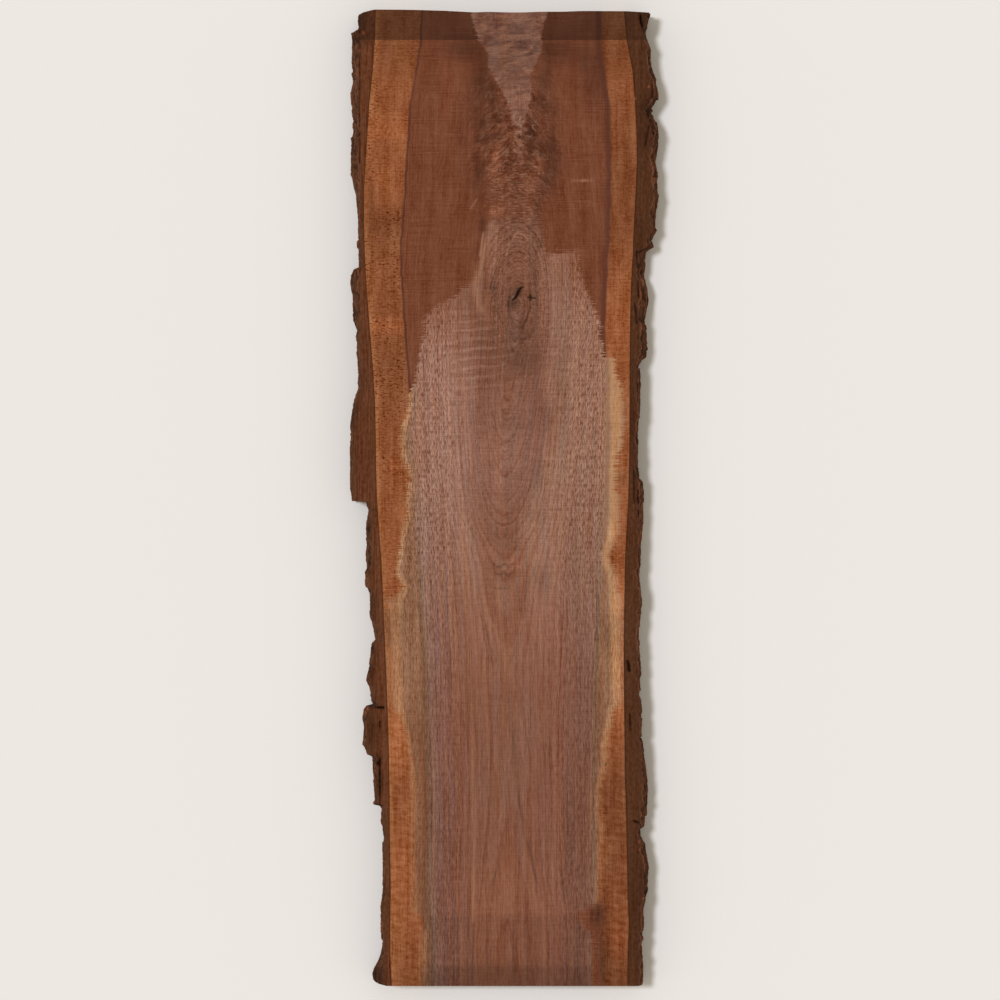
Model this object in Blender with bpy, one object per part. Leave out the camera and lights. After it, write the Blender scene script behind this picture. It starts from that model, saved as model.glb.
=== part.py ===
"""Walnut wood slab: a live-edge board sawn along a log, with the bark left on both edges.

The slab lies on its back face. +Y runs from the foot of the slab to its top, +Z points out of
the show face, and the origin is below the middle of the slab. Outlines are in millimetres:
a station is measured along the slab from its foot, and an offset from its middle line.
"""

import math

import bmesh
import bpy
import numpy as np
from mathutils import Vector, noise

MM = 0.001

# Driving dimensions, in millimetres.
LENGTH = 1219.2
THICKNESS = 51.0
PITH_ABOVE_BACK = 15.0
BARK_GAP = 0.3
BARK_SKIN = 2.0

# The wood is lofted through this many equal bays, and the bark through stations no further apart
# than BARK_BAY.
WOOD_BAYS = 32
BARK_BAY = 13.0

# Heights above the back face at which the two kinds of edge are shaped.
WOOD_LEVELS = (0.0, 15.0, 30.0, 42.0, THICKNESS)
BARK_LEVELS = (0.0, 5.0, 10.0, 16.0, 22.0, 28.0, 34.0, 40.0, 46.0, THICKNESS)

# Furrows in the bark: their pitch up the edge, the length of a diamond, and their depth.
FURROW_PITCH = 17.0
DIAMOND_LENGTH = 128.0
FURROW_DEPTH = 6.0
BROW_LEVEL = 18.0
BACK_ROUNDING = 2.5

# The open crack in the knot: its two ends as (offset, station), and its width and depth.
KNOT_CRACK_ENDS = ((10.6, 856.5), (21.8, 872.7))
KNOT_CRACK_WIDTH = 3.2
KNOT_CRACK_DEPTH = 3.0

# How far the cut at the top falls short of the full length, as (offset, shortfall).
TOP_CUT = (
    (-181.0, 6.2), (-177.0, 3.7), (-168.0, 1.2), (-162.0, 0.0),
    (164.0, 2.2), (170.6, 5.0), (173.0, 3.5), (183.0, 3.7),
)

# Where the wood ends and the bark begins on the show face, as (station, offset).
WOOD_EDGE_LEFT = (
    (0.0, -140.6), (16.0, -141.7), (49.0, -143.0), (122.0, -141.7), (205.0, -143.5),
    (242.0, -143.0), (277.0, -144.2), (320.0, -144.7), (361.0, -146.4), (405.0, -148.2),
    (453.0, -150.2), (517.0, -152.9), (557.0, -155.4), (582.0, -157.7), (629.0, -160.1),
    (713.0, -161.1), (745.0, -162.1), (790.0, -166.1), (814.0, -166.9), (846.0, -170.4),
    (870.0, -171.7), (894.0, -173.9), (959.0, -175.4), (983.0, -176.0), (1006.0, -174.4),
    (1039.0, -172.9), (1075.0, -170.4), (1105.0, -168.4), (1130.0, -166.1), (1145.0, -164.2),
    (1180.0, -161.7), (LENGTH, -160.9),
)
WOOD_EDGE_RIGHT = (
    (0.0, 153.6), (36.0, 153.6), (71.0, 155.4), (107.0, 153.9), (170.0, 152.7),
    (227.0, 151.6), (267.0, 149.9), (307.0, 149.9), (357.0, 149.1), (437.0, 148.8),
    (501.0, 149.9), (532.0, 150.4), (553.0, 151.2), (585.0, 153.6), (617.0, 154.8),
    (682.0, 155.9), (769.0, 156.2), (830.0, 156.7), (863.0, 157.6), (884.0, 158.3),
    (926.0, 160.8), (959.0, 161.9), (1000.0, 164.2), (1024.0, 165.2), (1055.0, 165.2),
    (1087.0, 163.9), (1115.0, 162.3), (1131.0, 161.1), (1149.0, 159.2), (1162.0, 156.1),
    (1179.0, 152.9), (1194.0, 149.9), (LENGTH, 149.2),
)

# The furthest reach of the bark, with its ledges and broken ends, as (station, offset).
BARK_REACH_LEFT = (
    (0.0, -151.7), (2.0, -160.1), (6.2, -163.7), (13.7, -164.6), (20.0, -162.6),
    (33.7, -155.4), (48.7, -151.3), (68.7, -153.7), (98.6, -154.2), (120.0, -151.3),
    (150.0, -151.3), (177.0, -152.6), (179.0, -150.2), (188.5, -150.2), (205.0, -153.7),
    (221.6, -152.2), (225.2, -154.6), (226.4, -161.7), (253.4, -162.9), (285.3, -164.9),
    (288.4, -171.3), (301.0, -176.8), (322.0, -175.3), (333.3, -177.3), (344.6, -175.3),
    (348.6, -172.3), (350.8, -164.6), (373.3, -167.3), (382.0, -172.0), (388.3, -170.4),
    (399.5, -167.3), (427.4, -165.4), (432.0, -161.1), (449.5, -164.2), (461.3, -167.7),
    (490.7, -168.0), (500.6, -172.4), (515.6, -174.4), (522.0, -171.3), (541.0, -172.4),
    (551.0, -171.3), (558.0, -172.9), (579.3, -170.9), (593.5, -168.9), (604.3, -172.3),
    (605.5, -190.0), (622.0, -192.4), (673.0, -193.5), (685.4, -191.6), (695.4, -192.9),
    (719.0, -189.8), (733.0, -187.6), (743.0, -183.7), (763.0, -182.4), (799.0, -184.2),
    (824.0, -184.8), (831.5, -188.4), (857.7, -189.1), (879.6, -192.9), (887.7, -191.1),
    (896.0, -187.2), (897.7, -181.3), (931.4, -181.7), (970.0, -182.9), (985.0, -184.4),
    (995.0, -187.6), (1014.4, -191.6), (1049.0, -190.4), (1060.0, -191.6), (1067.5, -189.1),
    (1091.0, -189.5), (1116.0, -191.6), (1132.4, -188.8), (1141.0, -191.1), (1168.6, -189.5),
    (1188.6, -191.1), (1192.3, -189.8), (1195.4, -181.7), (LENGTH, -181.0),
)
BARK_REACH_RIGHT = (
    (0.0, 171.7), (26.0, 172.3), (45.0, 171.4), (70.0, 173.9), (97.4, 173.9),
    (110.0, 176.4), (117.4, 179.2), (146.0, 180.3), (176.0, 175.8), (183.5, 171.5),
    (195.4, 172.3), (197.3, 177.3), (207.3, 177.7), (243.5, 179.4), (266.0, 177.3),
    (297.0, 173.5), (316.0, 169.8), (347.0, 171.7), (357.0, 170.4), (401.0, 169.8),
    (441.0, 167.9), (477.0, 171.3), (513.0, 168.7), (544.3, 170.4), (578.0, 173.5),
    (629.2, 172.9), (634.2, 167.9), (653.0, 166.4), (680.4, 167.7), (704.2, 166.9),
    (710.4, 169.4), (729.0, 170.4), (761.6, 169.5), (774.0, 169.2), (781.6, 173.5),
    (786.6, 179.7), (794.0, 179.9), (831.5, 174.8), (857.7, 180.4), (875.2, 178.3),
    (887.7, 174.9), (904.0, 176.7), (920.0, 179.2), (924.0, 184.2), (929.0, 182.4),
    (945.0, 190.4), (954.0, 188.6), (987.6, 192.0), (1012.5, 192.0), (1031.3, 188.5),
    (1049.4, 191.6), (1065.0, 193.5), (1080.0, 190.4), (1091.2, 182.0), (1101.2, 188.5),
    (1110.5, 193.1), (1133.6, 189.1), (1151.0, 183.5), (1170.0, 182.9), (1189.2, 176.0),
    (LENGTH, 182.9),
)

# How far the flat sawn top of the bark stops short of the bark's reach, as (station, set-back).
SAWN_SETBACK_LEFT = (
    (0.0, 6.0), (14.0, 12.0), (34.0, 5.0), (45.0, 1.5), (225.0, 1.5), (228.0, 3.0),
    (350.0, 4.0), (430.0, 3.0), (450.0, 4.5), (604.0, 4.0), (606.0, 2.0), (735.0, 2.0),
    (745.0, 1.5), (824.0, 1.5), (832.0, 8.0), (890.0, 9.0), (898.0, 1.5), (985.0, 2.0),
    (996.0, 8.0), (1190.0, 10.0), (1196.0, 1.5), (LENGTH, 1.0),
)
SAWN_SETBACK_RIGHT = (
    (0.0, 2.5), (110.0, 3.0), (118.0, 6.0), (176.0, 5.0), (184.0, 2.0), (196.0, 2.0),
    (199.0, 7.0), (265.0, 6.5), (300.0, 3.0), (544.0, 3.0), (560.0, 5.0), (629.0, 5.0),
    (635.0, 2.5), (780.0, 3.0), (787.0, 8.0), (831.0, 8.0), (860.0, 10.0), (919.0, 9.0),
    (931.0, 6.0), (1094.0, 6.0), (1150.0, 5.0), (1170.0, 3.0), (LENGTH, 2.0),
)

# Surface colours as linear red, green and blue, and roughness.
WOOD_COLOUR = (0.21, 0.09, 0.055)
WOOD_ROUGHNESS = 0.6
BARK_COLOUR = (0.05, 0.026, 0.016)
BARK_ROUGHNESS = 0.9

LEFT = -1.0
RIGHT = 1.0
EDGES = {
    LEFT: (WOOD_EDGE_LEFT, BARK_REACH_LEFT, SAWN_SETBACK_LEFT),
    RIGHT: (WOOD_EDGE_RIGHT, BARK_REACH_RIGHT, SAWN_SETBACK_RIGHT),
}


def along(outline, station):
    """Value of an outline at a station, in straight lines between its points."""
    stations, values = zip(*outline)
    return float(np.interp(station, stations, values))


def place(offset, station, height):
    """A point of the slab in metres; the last station follows the cut at the top."""
    if station >= LENGTH:
        station = LENGTH - along(TOP_CUT, offset)
    return (offset * MM, (station - LENGTH / 2.0) * MM, height * MM)


def log_edge(station, side, height):
    """Offset of the round log's wood surface at a height above the back face."""
    left = along(WOOD_EDGE_LEFT, station)
    right = along(WOOD_EDGE_RIGHT, station)
    log_centre = (left + right) / 2.0
    half_width = (right - left) / 2.0
    log_radius = math.hypot(half_width, THICKNESS - PITH_ABOVE_BACK)
    return log_centre + side * math.sqrt(log_radius ** 2 - (height - PITH_ABOVE_BACK) ** 2)


def wood_edge(station, side, height):
    """Offset of the wood's edge: straight between the bays that both wood and bark follow."""
    bay = LENGTH / WOOD_BAYS
    start = min(math.floor(station / bay), WOOD_BAYS - 1) * bay
    share = (station - start) / bay
    first = log_edge(start, side, height)
    last = log_edge(start + bay, side, height)
    return first + share * (last - first)


def furrow(station, height, side):
    """From 0 on a bark ridge to 1 in a furrow, where two slanting sets cross into diamonds."""
    wander = 0.45 * noise.noise(Vector((station / 70.0, height / 45.0, 3.1 * side)))
    turns = height / FURROW_PITCH + wander
    lean = station / DIAMOND_LENGTH
    rising = math.cos(math.tau * (turns + lean))
    falling = math.cos(math.tau * (turns - lean + 0.3))
    return max(rising, falling, 0.0) ** 1.5


def bark_recess(station, side):
    """How far the bark's outer surface lies inside its reach at each level below the face."""
    setback = along(EDGES[side][2], station)
    recess = []
    for height in BARK_LEVELS[:-1]:
        if height > BROW_LEVEL:
            rise = (height - BROW_LEVEL) / (THICKNESS - BROW_LEVEL)
            lean_in = setback * rise ** 1.6
        else:
            lean_in = BACK_ROUNDING * (1.0 - height / BROW_LEVEL) ** 2
        recess.append(lean_in + FURROW_DEPTH * furrow(station, height, side))
    nearest = min(recess)
    return [depth - nearest for depth in recess] + [setback]


def bark_surface(station, side):
    """Offsets of the bark's outer surface from the back face up to the show face."""
    reach = side * along(EDGES[side][1], station)
    offsets = []
    for height, depth in zip(BARK_LEVELS, bark_recess(station, side)):
        skin = side * wood_edge(station, side, height) + BARK_SKIN
        offsets.append(side * max(reach - depth, skin))
    return offsets


def bark_stations(side):
    """Stations of the bark: its outline's points and the wood's bays, with long gaps filled."""
    bays = [LENGTH * step / WOOD_BAYS for step in range(WOOD_BAYS + 1)]
    chosen = sorted({station for station, _ in EDGES[side][1]})
    chosen += [bay for bay in bays if min(abs(bay - station) for station in chosen) > 3.0]
    chosen.sort()
    filled = [chosen[0]]
    for station in chosen[1:]:
        start = filled[-1]
        steps = math.ceil((station - start) / BARK_BAY)
        filled += [start + (station - start) * step / steps for step in range(1, steps + 1)]
    return filled


def bark_ring(station, side):
    """One closed section of bark: up the wood's edge, then down the outer surface."""
    inner = [
        place(wood_edge(station, side, height) + side * BARK_GAP, station, height)
        for height in WOOD_LEVELS
    ]
    outer = [
        place(offset, station, height)
        for height, offset in zip(BARK_LEVELS, bark_surface(station, side))
    ]
    return inner + outer[::-1]


def wood_ring(station):
    """One closed section of wood: up the right edge, then down the left edge."""
    right = [place(wood_edge(station, RIGHT, height), station, height) for height in WOOD_LEVELS]
    left = [place(wood_edge(station, LEFT, height), station, height) for height in WOOD_LEVELS]
    return right + left[::-1]


def surface_finish(name, colour, roughness):
    """A matt Principled finish."""
    finish = bpy.data.materials.new(name)
    finish.use_nodes = True
    shader = finish.node_tree.nodes["Principled BSDF"]
    shader.inputs["Base Color"].default_value = (*colour, 1.0)
    shader.inputs["Roughness"].default_value = roughness
    shader.inputs["Metallic"].default_value = 0.0
    finish.diffuse_color = (*colour, 1.0)
    return finish


def loft(name, rings, finish):
    """One closed solid through the rings, capped at both ends."""
    mesh = bpy.data.meshes.new(name)
    solid = bmesh.new()
    loops = [[solid.verts.new(point) for point in ring] for ring in rings]
    for lower, upper in zip(loops, loops[1:]):
        for index, corner in enumerate(lower):
            follow = (index + 1) % len(lower)
            solid.faces.new((corner, lower[follow], upper[follow], upper[index]))
    caps = [solid.faces.new(loops[0]), solid.faces.new(loops[-1])]
    bmesh.ops.triangulate(solid, faces=caps)
    bmesh.ops.recalc_face_normals(solid, faces=solid.faces)
    solid.to_mesh(mesh)
    solid.free()
    mesh.materials.append(finish)
    piece = bpy.data.objects.new(name, mesh)
    bpy.context.scene.collection.objects.link(piece)
    return piece


def knot_crack_cutter():
    """A lens-shaped prism along the knot's open crack, from just above the face to its depth."""
    start, end = (Vector(point) for point in KNOT_CRACK_ENDS)
    run = end - start
    across = Vector((-run.y, run.x)).normalized() * KNOT_CRACK_WIDTH / 2.0
    shares = ((0.0, 0.0), (0.3, -0.9), (0.7, -0.8), (1.0, 0.0), (0.65, 0.9), (0.25, 0.8))
    outline = [start + run * share + across * bow for share, bow in shares]
    mesh = bpy.data.meshes.new("knot_crack_cutter")
    prism = bmesh.new()
    base = [
        prism.verts.new(place(point.x, point.y, THICKNESS - KNOT_CRACK_DEPTH))
        for point in outline
    ]
    floor = prism.faces.new(base)
    walls = bmesh.ops.extrude_face_region(prism, geom=[floor])
    top = [item for item in walls["geom"] if isinstance(item, bmesh.types.BMVert)]
    bmesh.ops.translate(prism, verts=top, vec=(0.0, 0.0, (KNOT_CRACK_DEPTH + 1.0) * MM))
    bmesh.ops.recalc_face_normals(prism, faces=prism.faces)
    prism.to_mesh(mesh)
    prism.free()
    cutter = bpy.data.objects.new("knot_crack_cutter", mesh)
    cutter.hide_render = True
    cutter.display_type = "WIRE"
    bpy.context.scene.collection.objects.link(cutter)
    return cutter


def build_wood():
    """The sawn board of heartwood and sapwood, with the knot's crack sunk in its face."""
    rings = [wood_ring(LENGTH * step / WOOD_BAYS) for step in range(WOOD_BAYS + 1)]
    finish = surface_finish("sawn_walnut", WOOD_COLOUR, WOOD_ROUGHNESS)
    board = loft("wood", rings, finish)
    crack = board.modifiers.new("knot_crack", "BOOLEAN")
    crack.operation = "DIFFERENCE"
    crack.solver = "EXACT"
    crack.object = knot_crack_cutter()
    return board


def build_bark(name, side):
    """The strip of bark on one edge."""
    rings = [bark_ring(station, side) for station in bark_stations(side)]
    finish = surface_finish(name + "_finish", BARK_COLOUR, BARK_ROUGHNESS)
    return loft(name, rings, finish)


def main():
    for old in list(bpy.data.objects):
        bpy.data.objects.remove(old, do_unlink=True)
    build_wood()
    build_bark("bark_left", LEFT)
    build_bark("bark_right", RIGHT)


main()
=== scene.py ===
"""Looks of the walnut wood slab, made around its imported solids.

The slab lies on its back face, show face up. A station is measured in millimetres along the slab
from its foot, an offset from its middle line to the right, and a height from its back face.
"""

import math

import bmesh
import bpy
import numpy as np
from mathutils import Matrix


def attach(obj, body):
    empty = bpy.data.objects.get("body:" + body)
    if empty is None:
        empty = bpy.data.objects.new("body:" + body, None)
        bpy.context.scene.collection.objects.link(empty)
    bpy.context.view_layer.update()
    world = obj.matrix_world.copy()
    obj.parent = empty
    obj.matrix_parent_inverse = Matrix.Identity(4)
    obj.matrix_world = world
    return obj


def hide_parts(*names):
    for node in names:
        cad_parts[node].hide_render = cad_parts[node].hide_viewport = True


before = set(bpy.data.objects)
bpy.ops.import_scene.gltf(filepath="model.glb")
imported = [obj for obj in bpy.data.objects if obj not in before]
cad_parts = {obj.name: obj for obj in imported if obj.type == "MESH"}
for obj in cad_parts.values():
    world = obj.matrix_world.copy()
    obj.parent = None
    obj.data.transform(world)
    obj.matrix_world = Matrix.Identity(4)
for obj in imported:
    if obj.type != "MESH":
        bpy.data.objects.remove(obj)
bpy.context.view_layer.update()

MM = 0.001
LEFT = -1.0
RIGHT = 1.0

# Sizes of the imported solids.
FOOT = -609.6
LENGTH = 1219.2
THICKNESS = 51.0

# Heights at which the solids' edges are shaped, and how far the top cut can fall short.
WOOD_LEVELS = (0.0, 15.0, 30.0, 42.0, THICKNESS)
BARK_LEVELS = (0.0, 5.0, 10.0, 16.0, 22.0, 28.0, 34.0, 40.0, 46.0, THICKNESS)
TOP_CUT_REACH = 8.0
TOP_CUT_BAY = 12.0
BARK_GAP = 0.3
BARK_SKIN = 1.2

# How near two corners of the solids have to be to share a level or a station, how far out every
# edge lies at least, and the angle in degrees from which an edge of a mesh looks sharp.
SAME_HEIGHT = 0.05
SAME_STATION = 0.5
NEAREST_EDGE = 100.0
SHARP_ANGLE = 40.0

# How far the flakes of the bark reach over its solid, and where the widest of them ends.
BARK_SPREAD = {LEFT: 1.6, RIGHT: 1.0}
BARK_LIMIT = 193.3

# How far the cut at the top dips below its ends, as (offset, fall).
TOP_DIP = (
    (-125, 0.0), (-105, 0.3), (-75, 1.0), (-56, 1.9), (-36, 2.7), (-21, 1.9), (4, 2.5), (24, 2.4),
    (44, 1.4), (74, 1.1), (94, 0.2), (105, 0.0),
)

# The boundary of heartwood and sapwood on the show face, as (station, offset).
HEART_LEFT = (
    (0, -103), (107, -100.5), (232, -99.3), (357, -101.8), (482, -108), (607, -113), (732, -118),
    (803, -124.2), (911, -131.1), (981, -126.1), (1094, -119.2), (1181, -105.5), (LENGTH, -104.2),
)
HEART_RIGHT = (
    (0, 122.5), (95, 122.5), (125, 117.5), (232, 118), (357, 119.2), (482, 123), (607, 126.7),
    (732, 129.2), (830, 126.1), (919, 131.1), (994, 134.2), (1095, 132.5), (1181, 121.1),
    (LENGTH, 121.1),
)

# The line of the pith under the show face, as (station, offset), and its depth, as
# (station, depth): it comes up to the face at the knot.
PITH_LINE = (
    (0, 6.9), (232, 5.6), (419, 3.1), (494, -0.6), (607, -0.6), (732, 3.1), (819, 13.1),
    (944, 15.6), (1044, 11.9), (LENGTH, 11.9),
)
PITH_DEPTH = (
    (0, 62.0), (107, 68.0), (170, 71.5), (232, 73.7), (307, 74.9), (370, 74.9), (419, 73.3),
    (457, 71.2), (497, 68), (526, 64.3), (557, 57.4), (582, 48.1), (607, 42.4), (669, 27.5),
    (732, 10), (794, 3.7), (850, 6.2), (881, 18.7), (925, 36.8), (954, 49.9), (981, 59.9),
    (1044, 74.9), (1106, 84.9), (1181, 93.6), (LENGTH, 96.1),
)
HEART_RADIUS = 140.0

# Ovals, as (offset, station, half width, half length): the knot, the feathered figure above it
# and the curl beside it.
KNOT = (18.0, 853.0, 18.0, 44.0)
FEATHER = (14.0, 1052.0, 52.0, 96.0)
CURL = (-33.0, 790.0, 34.0, 46.0)

# How much the rings rise in the knot, how deep it goes on, and how far it parts the fibres.
KNOT_RISE = 37.0
KNOT_FADE = 25.0
KNOT_SPREAD = 60.0
KNOT_SPREAD_LENGTH = 130.0

# The open crack in the knot, as in the solid.
CRACK_ENDS = ((10.6, 856.5), (21.8, 872.7))
CRACK_HALF_WIDTH = 1.4
CRACK_DEPTH = 3.0
CRACK_BEND = 0.9

# Outlines of the dry wood on the damp face, as (offset, station).
DRY_FIELD = (
    (-13, 957), (38, 961), (46, 940), (50, 926), (51, 916), (92, 916), (92, 896), (96, 884),
    (102, 866), (109, 854), (114, 841), (117, 832), (120, 828), (119, 813), (122, 800), (124, 785),
    (136, 784), (138, 769), (145, 753), (147, 747), (148.5, 733), (151, 722), (152, 695),
    (149, 692), (148, 674), (141, 662), (139, 644), (140, 625), (145, 593), (145, 577), (143, 562),
    (139, 549), (133, 543), (131, 537), (132, 530), (140, 520), (143, 511), (144, 492), (149, 487),
    (149, 351), (137, 345), (136, 335), (129, 313), (127, 301), (129, 277), (119, 248), (119, 213),
    (124, 195), (120, 147), (118, 124), (119, 104), (88, 91), (95, 79), (102, 71), (108, 66),
    (109.5, 45), (109.5, -20), (-106, -20), (-106, 64), (-100, 70), (-100, 82), (-116, 95),
    (-116, 257), (-120, 307), (-130, 338), (-147, 357), (-150, 484), (-138, 487), (-131, 491),
    (-126, 499), (-132, 509), (-136, 517), (-133, 533), (-129, 558), (-128, 569), (-120, 589),
    (-124, 602), (-120, 622), (-119, 632), (-120, 645), (-128, 658), (-130, 672), (-130, 689),
    (-129, 703), (-123, 710), (-122, 717), (-118, 732), (-114, 750), (-110, 767), (-109, 778),
    (-106, 783), (-104, 798), (-102, 809), (-99, 818), (-100, 830), (-97, 839), (-90, 845),
    (-79, 853), (-63, 859), (-53, 871), (-37, 879), (-31, 893), (-25, 920), (-20, 940),
)
DRY_TONGUE = (
    (-43, 1240), (-40.8, 1214), (-38.2, 1195), (-31.5, 1179), (-24.3, 1171), (-20, 1162),
    (-19.4, 1146), (-14.4, 1136), (-5.6, 1122), (-1.4, 1114), (3, 1105), (8.4, 1091), (11.5, 1075),
    (13.6, 1056), (16, 1040), (18.7, 1040), (21.2, 1054), (23.1, 1069), (25.6, 1084), (31, 1099),
    (32.6, 1109), (33.6, 1123), (31.6, 1135), (37.6, 1149), (44.8, 1164), (46.8, 1178),
    (46.2, 1185), (49, 1202), (53.5, 1214), (55, 1240),
)

# Where the pale rim of the dry wood turns olive, as (station, offset).
RIM_LEFT = (
    (0, -100.5), (64, -96.8), (95, -110.5), (257, -110.5), (307, -118), (357, -128), (432, -130.5),
    (482, -125.5), (499, -120.5), (517, -130.5), (558, -124.2), (589, -116.7), (602, -119.2),
    (622, -115.5), (645, -115.5), (658, -123), (689, -125.5), (710, -119.2), (732, -115.5),
    (LENGTH, -115.5),
)
RIM_RIGHT = (
    (0, 113), (57, 112), (104, 114.2), (147, 115.5), (195, 118), (213, 114.2), (248, 114.2),
    (277, 121.7), (301, 120.5), (335, 128), (357, 133), (432, 133), (484, 131.7), (513, 129.2),
    (532, 121.5), (543, 122.7), (562, 129.2), (593, 131.7), (644, 131.5), (674, 132.5), (695, 133),
    (722, 131.5), (753, 132), (784, 131), (LENGTH, 129.2),
)

# Colours of the dry heartwood by the distance inward from the sapwood, as (distance, colour).
DRY_ZONES_LEFT = (
    (0, (124, 85, 62)), (4, (114, 80, 60)), (9, (138, 103, 88)), (14, (131, 92, 79)),
    (25, (129, 88, 76)), (28.5, (137, 92, 73)), (32, (128, 86, 74)), (37, (127, 86, 73)),
    (40, (142, 93, 70)), (44, (133, 88, 71)), (56, (132, 88, 71)), (60, (142, 94, 72)),
    (64, (134, 89, 71)), (100, (136, 90, 71)),
)
DRY_ZONES_RIGHT = (
    (0, (130, 92, 68)), (3, (136, 98, 78)), (6, (108, 80, 60)), (9, (138, 100, 83)),
    (14, (127, 87, 73)), (42, (126, 85, 70)), (50, (137, 91, 74)), (110, (134, 89, 71)),
)

# How light the dry flanks and the dry middle are along the slab, as (station, factor).
FLANK_TONE = (
    (0, 0.86), (110, 0.92), (195, 0.87), (300, 0.93), (420, 0.98), (450, 1.0), (600, 1.05),
    (700, 1.1),
)
MIDDLE_TONE = (
    (0, 0.92), (107, 0.98), (157, 0.9), (250, 0.84), (357, 0.87), (420, 0.97), (460, 1.03),
    (500, 1.0), (557, 0.84), (594, 0.95), (625, 1.0), (663, 1.1), (725, 0.94), (788, 0.78),
    (810, 0.75), (830, 0.86), (900, 0.84), (940, 0.8), (1000, 0.92), (LENGTH, 0.9),
)

# Change of the dry wood's red, green and blue along the slab, as (station, factor).
DRY_BALANCE = (
    ((380, 1.0), (420, 1.08), (457, 1.08), (507, 1.1), (560, 1.02), (640, 1.0)),
    ((380, 0.98), (420, 1.14), (457, 1.15), (507, 1.2), (560, 1.07), (640, 1.05), (720, 1.03)),
    ((380, 0.98), (420, 1.18), (457, 1.2), (507, 1.24), (560, 1.1), (640, 1.08), (720, 1.06)),
)

# How pale the dry rim is along the slab, as (station, share).
CREAM_LEFT = ((230, 0.1), (300, 0.75), (330, 0.55), (420, 0.4), (480, 0.7), (520, 1.0))
CREAM_RIGHT = ((180, 0.1), (250, 0.3), (320, 0.75), (400, 0.9), (520, 1.0))

# Where the dry middle passes into the paler flanks above station 430, as (station, offset,
# half width of the passage).
MIDDLE_EDGES = {
    LEFT: (
        (430, -28, 15), (557, -31, 15), (594, -43, 20), (632, -52, 12), (669, -49, 18),
        (707, -49, 17), (744, -45, 24), (782, -47, 29), (819, -53, 33), (857, -64, 20),
        (900, -42, 12),
    ),
    RIGHT: (
        (430, 20, 12), (557, 21, 10), (594, 26, 8), (632, 44, 10), (669, 53, 11), (707, 63, 9),
        (744, 56, 20), (782, 59, 22), (819, 58, 26), (857, 60, 26), (900, 60, 30),
    ),
}

# How light the dry tongue is, and how much darker the dry wood is near the foot, as
# (station, factor).
TONGUE_TONE = (
    (1036, 1.05), (1056, 1.12), (1080, 1.17), (1102, 1.34), (1128, 1.24), (1150, 1.03), (1166, 1.0),
    (1190, 1.06), (LENGTH, 1.14),
)
FOOT_TONE = ((0, 0.62), (22, 0.7), (28, 0.86), (86, 0.88), (91, 1.0))

# How light the damp sapwood is along the slab, as (station, factor).
SAP_TONE_LEFT = (
    (0, 0.8), (60, 0.96), (145, 1.18), (200, 1.02), (245, 0.92), (295, 1.24), (357, 1.12),
    (410, 1.0), (530, 1.03), (650, 0.96), (720, 0.88), (775, 0.76), (810, 0.85), (823, 1.16),
    (840, 0.88), (905, 0.88), (955, 0.7), (985, 1.0), (1050, 1.0), (1066, 1.2), (1095, 1.0),
    (1125, 0.97), (1165, 0.76),
)
SAP_TONE_RIGHT = (
    (0, 0.66), (30, 0.84), (60, 1.09), (180, 0.96), (243, 0.87), (300, 1.08), (350, 1.28),
    (390, 1.15), (430, 1.02), (750, 1.02), (828, 1.15), (890, 0.98), (945, 0.78), (1020, 0.74),
    (1075, 0.82), (1125, 0.93), (1160, 0.75),
)

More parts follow.
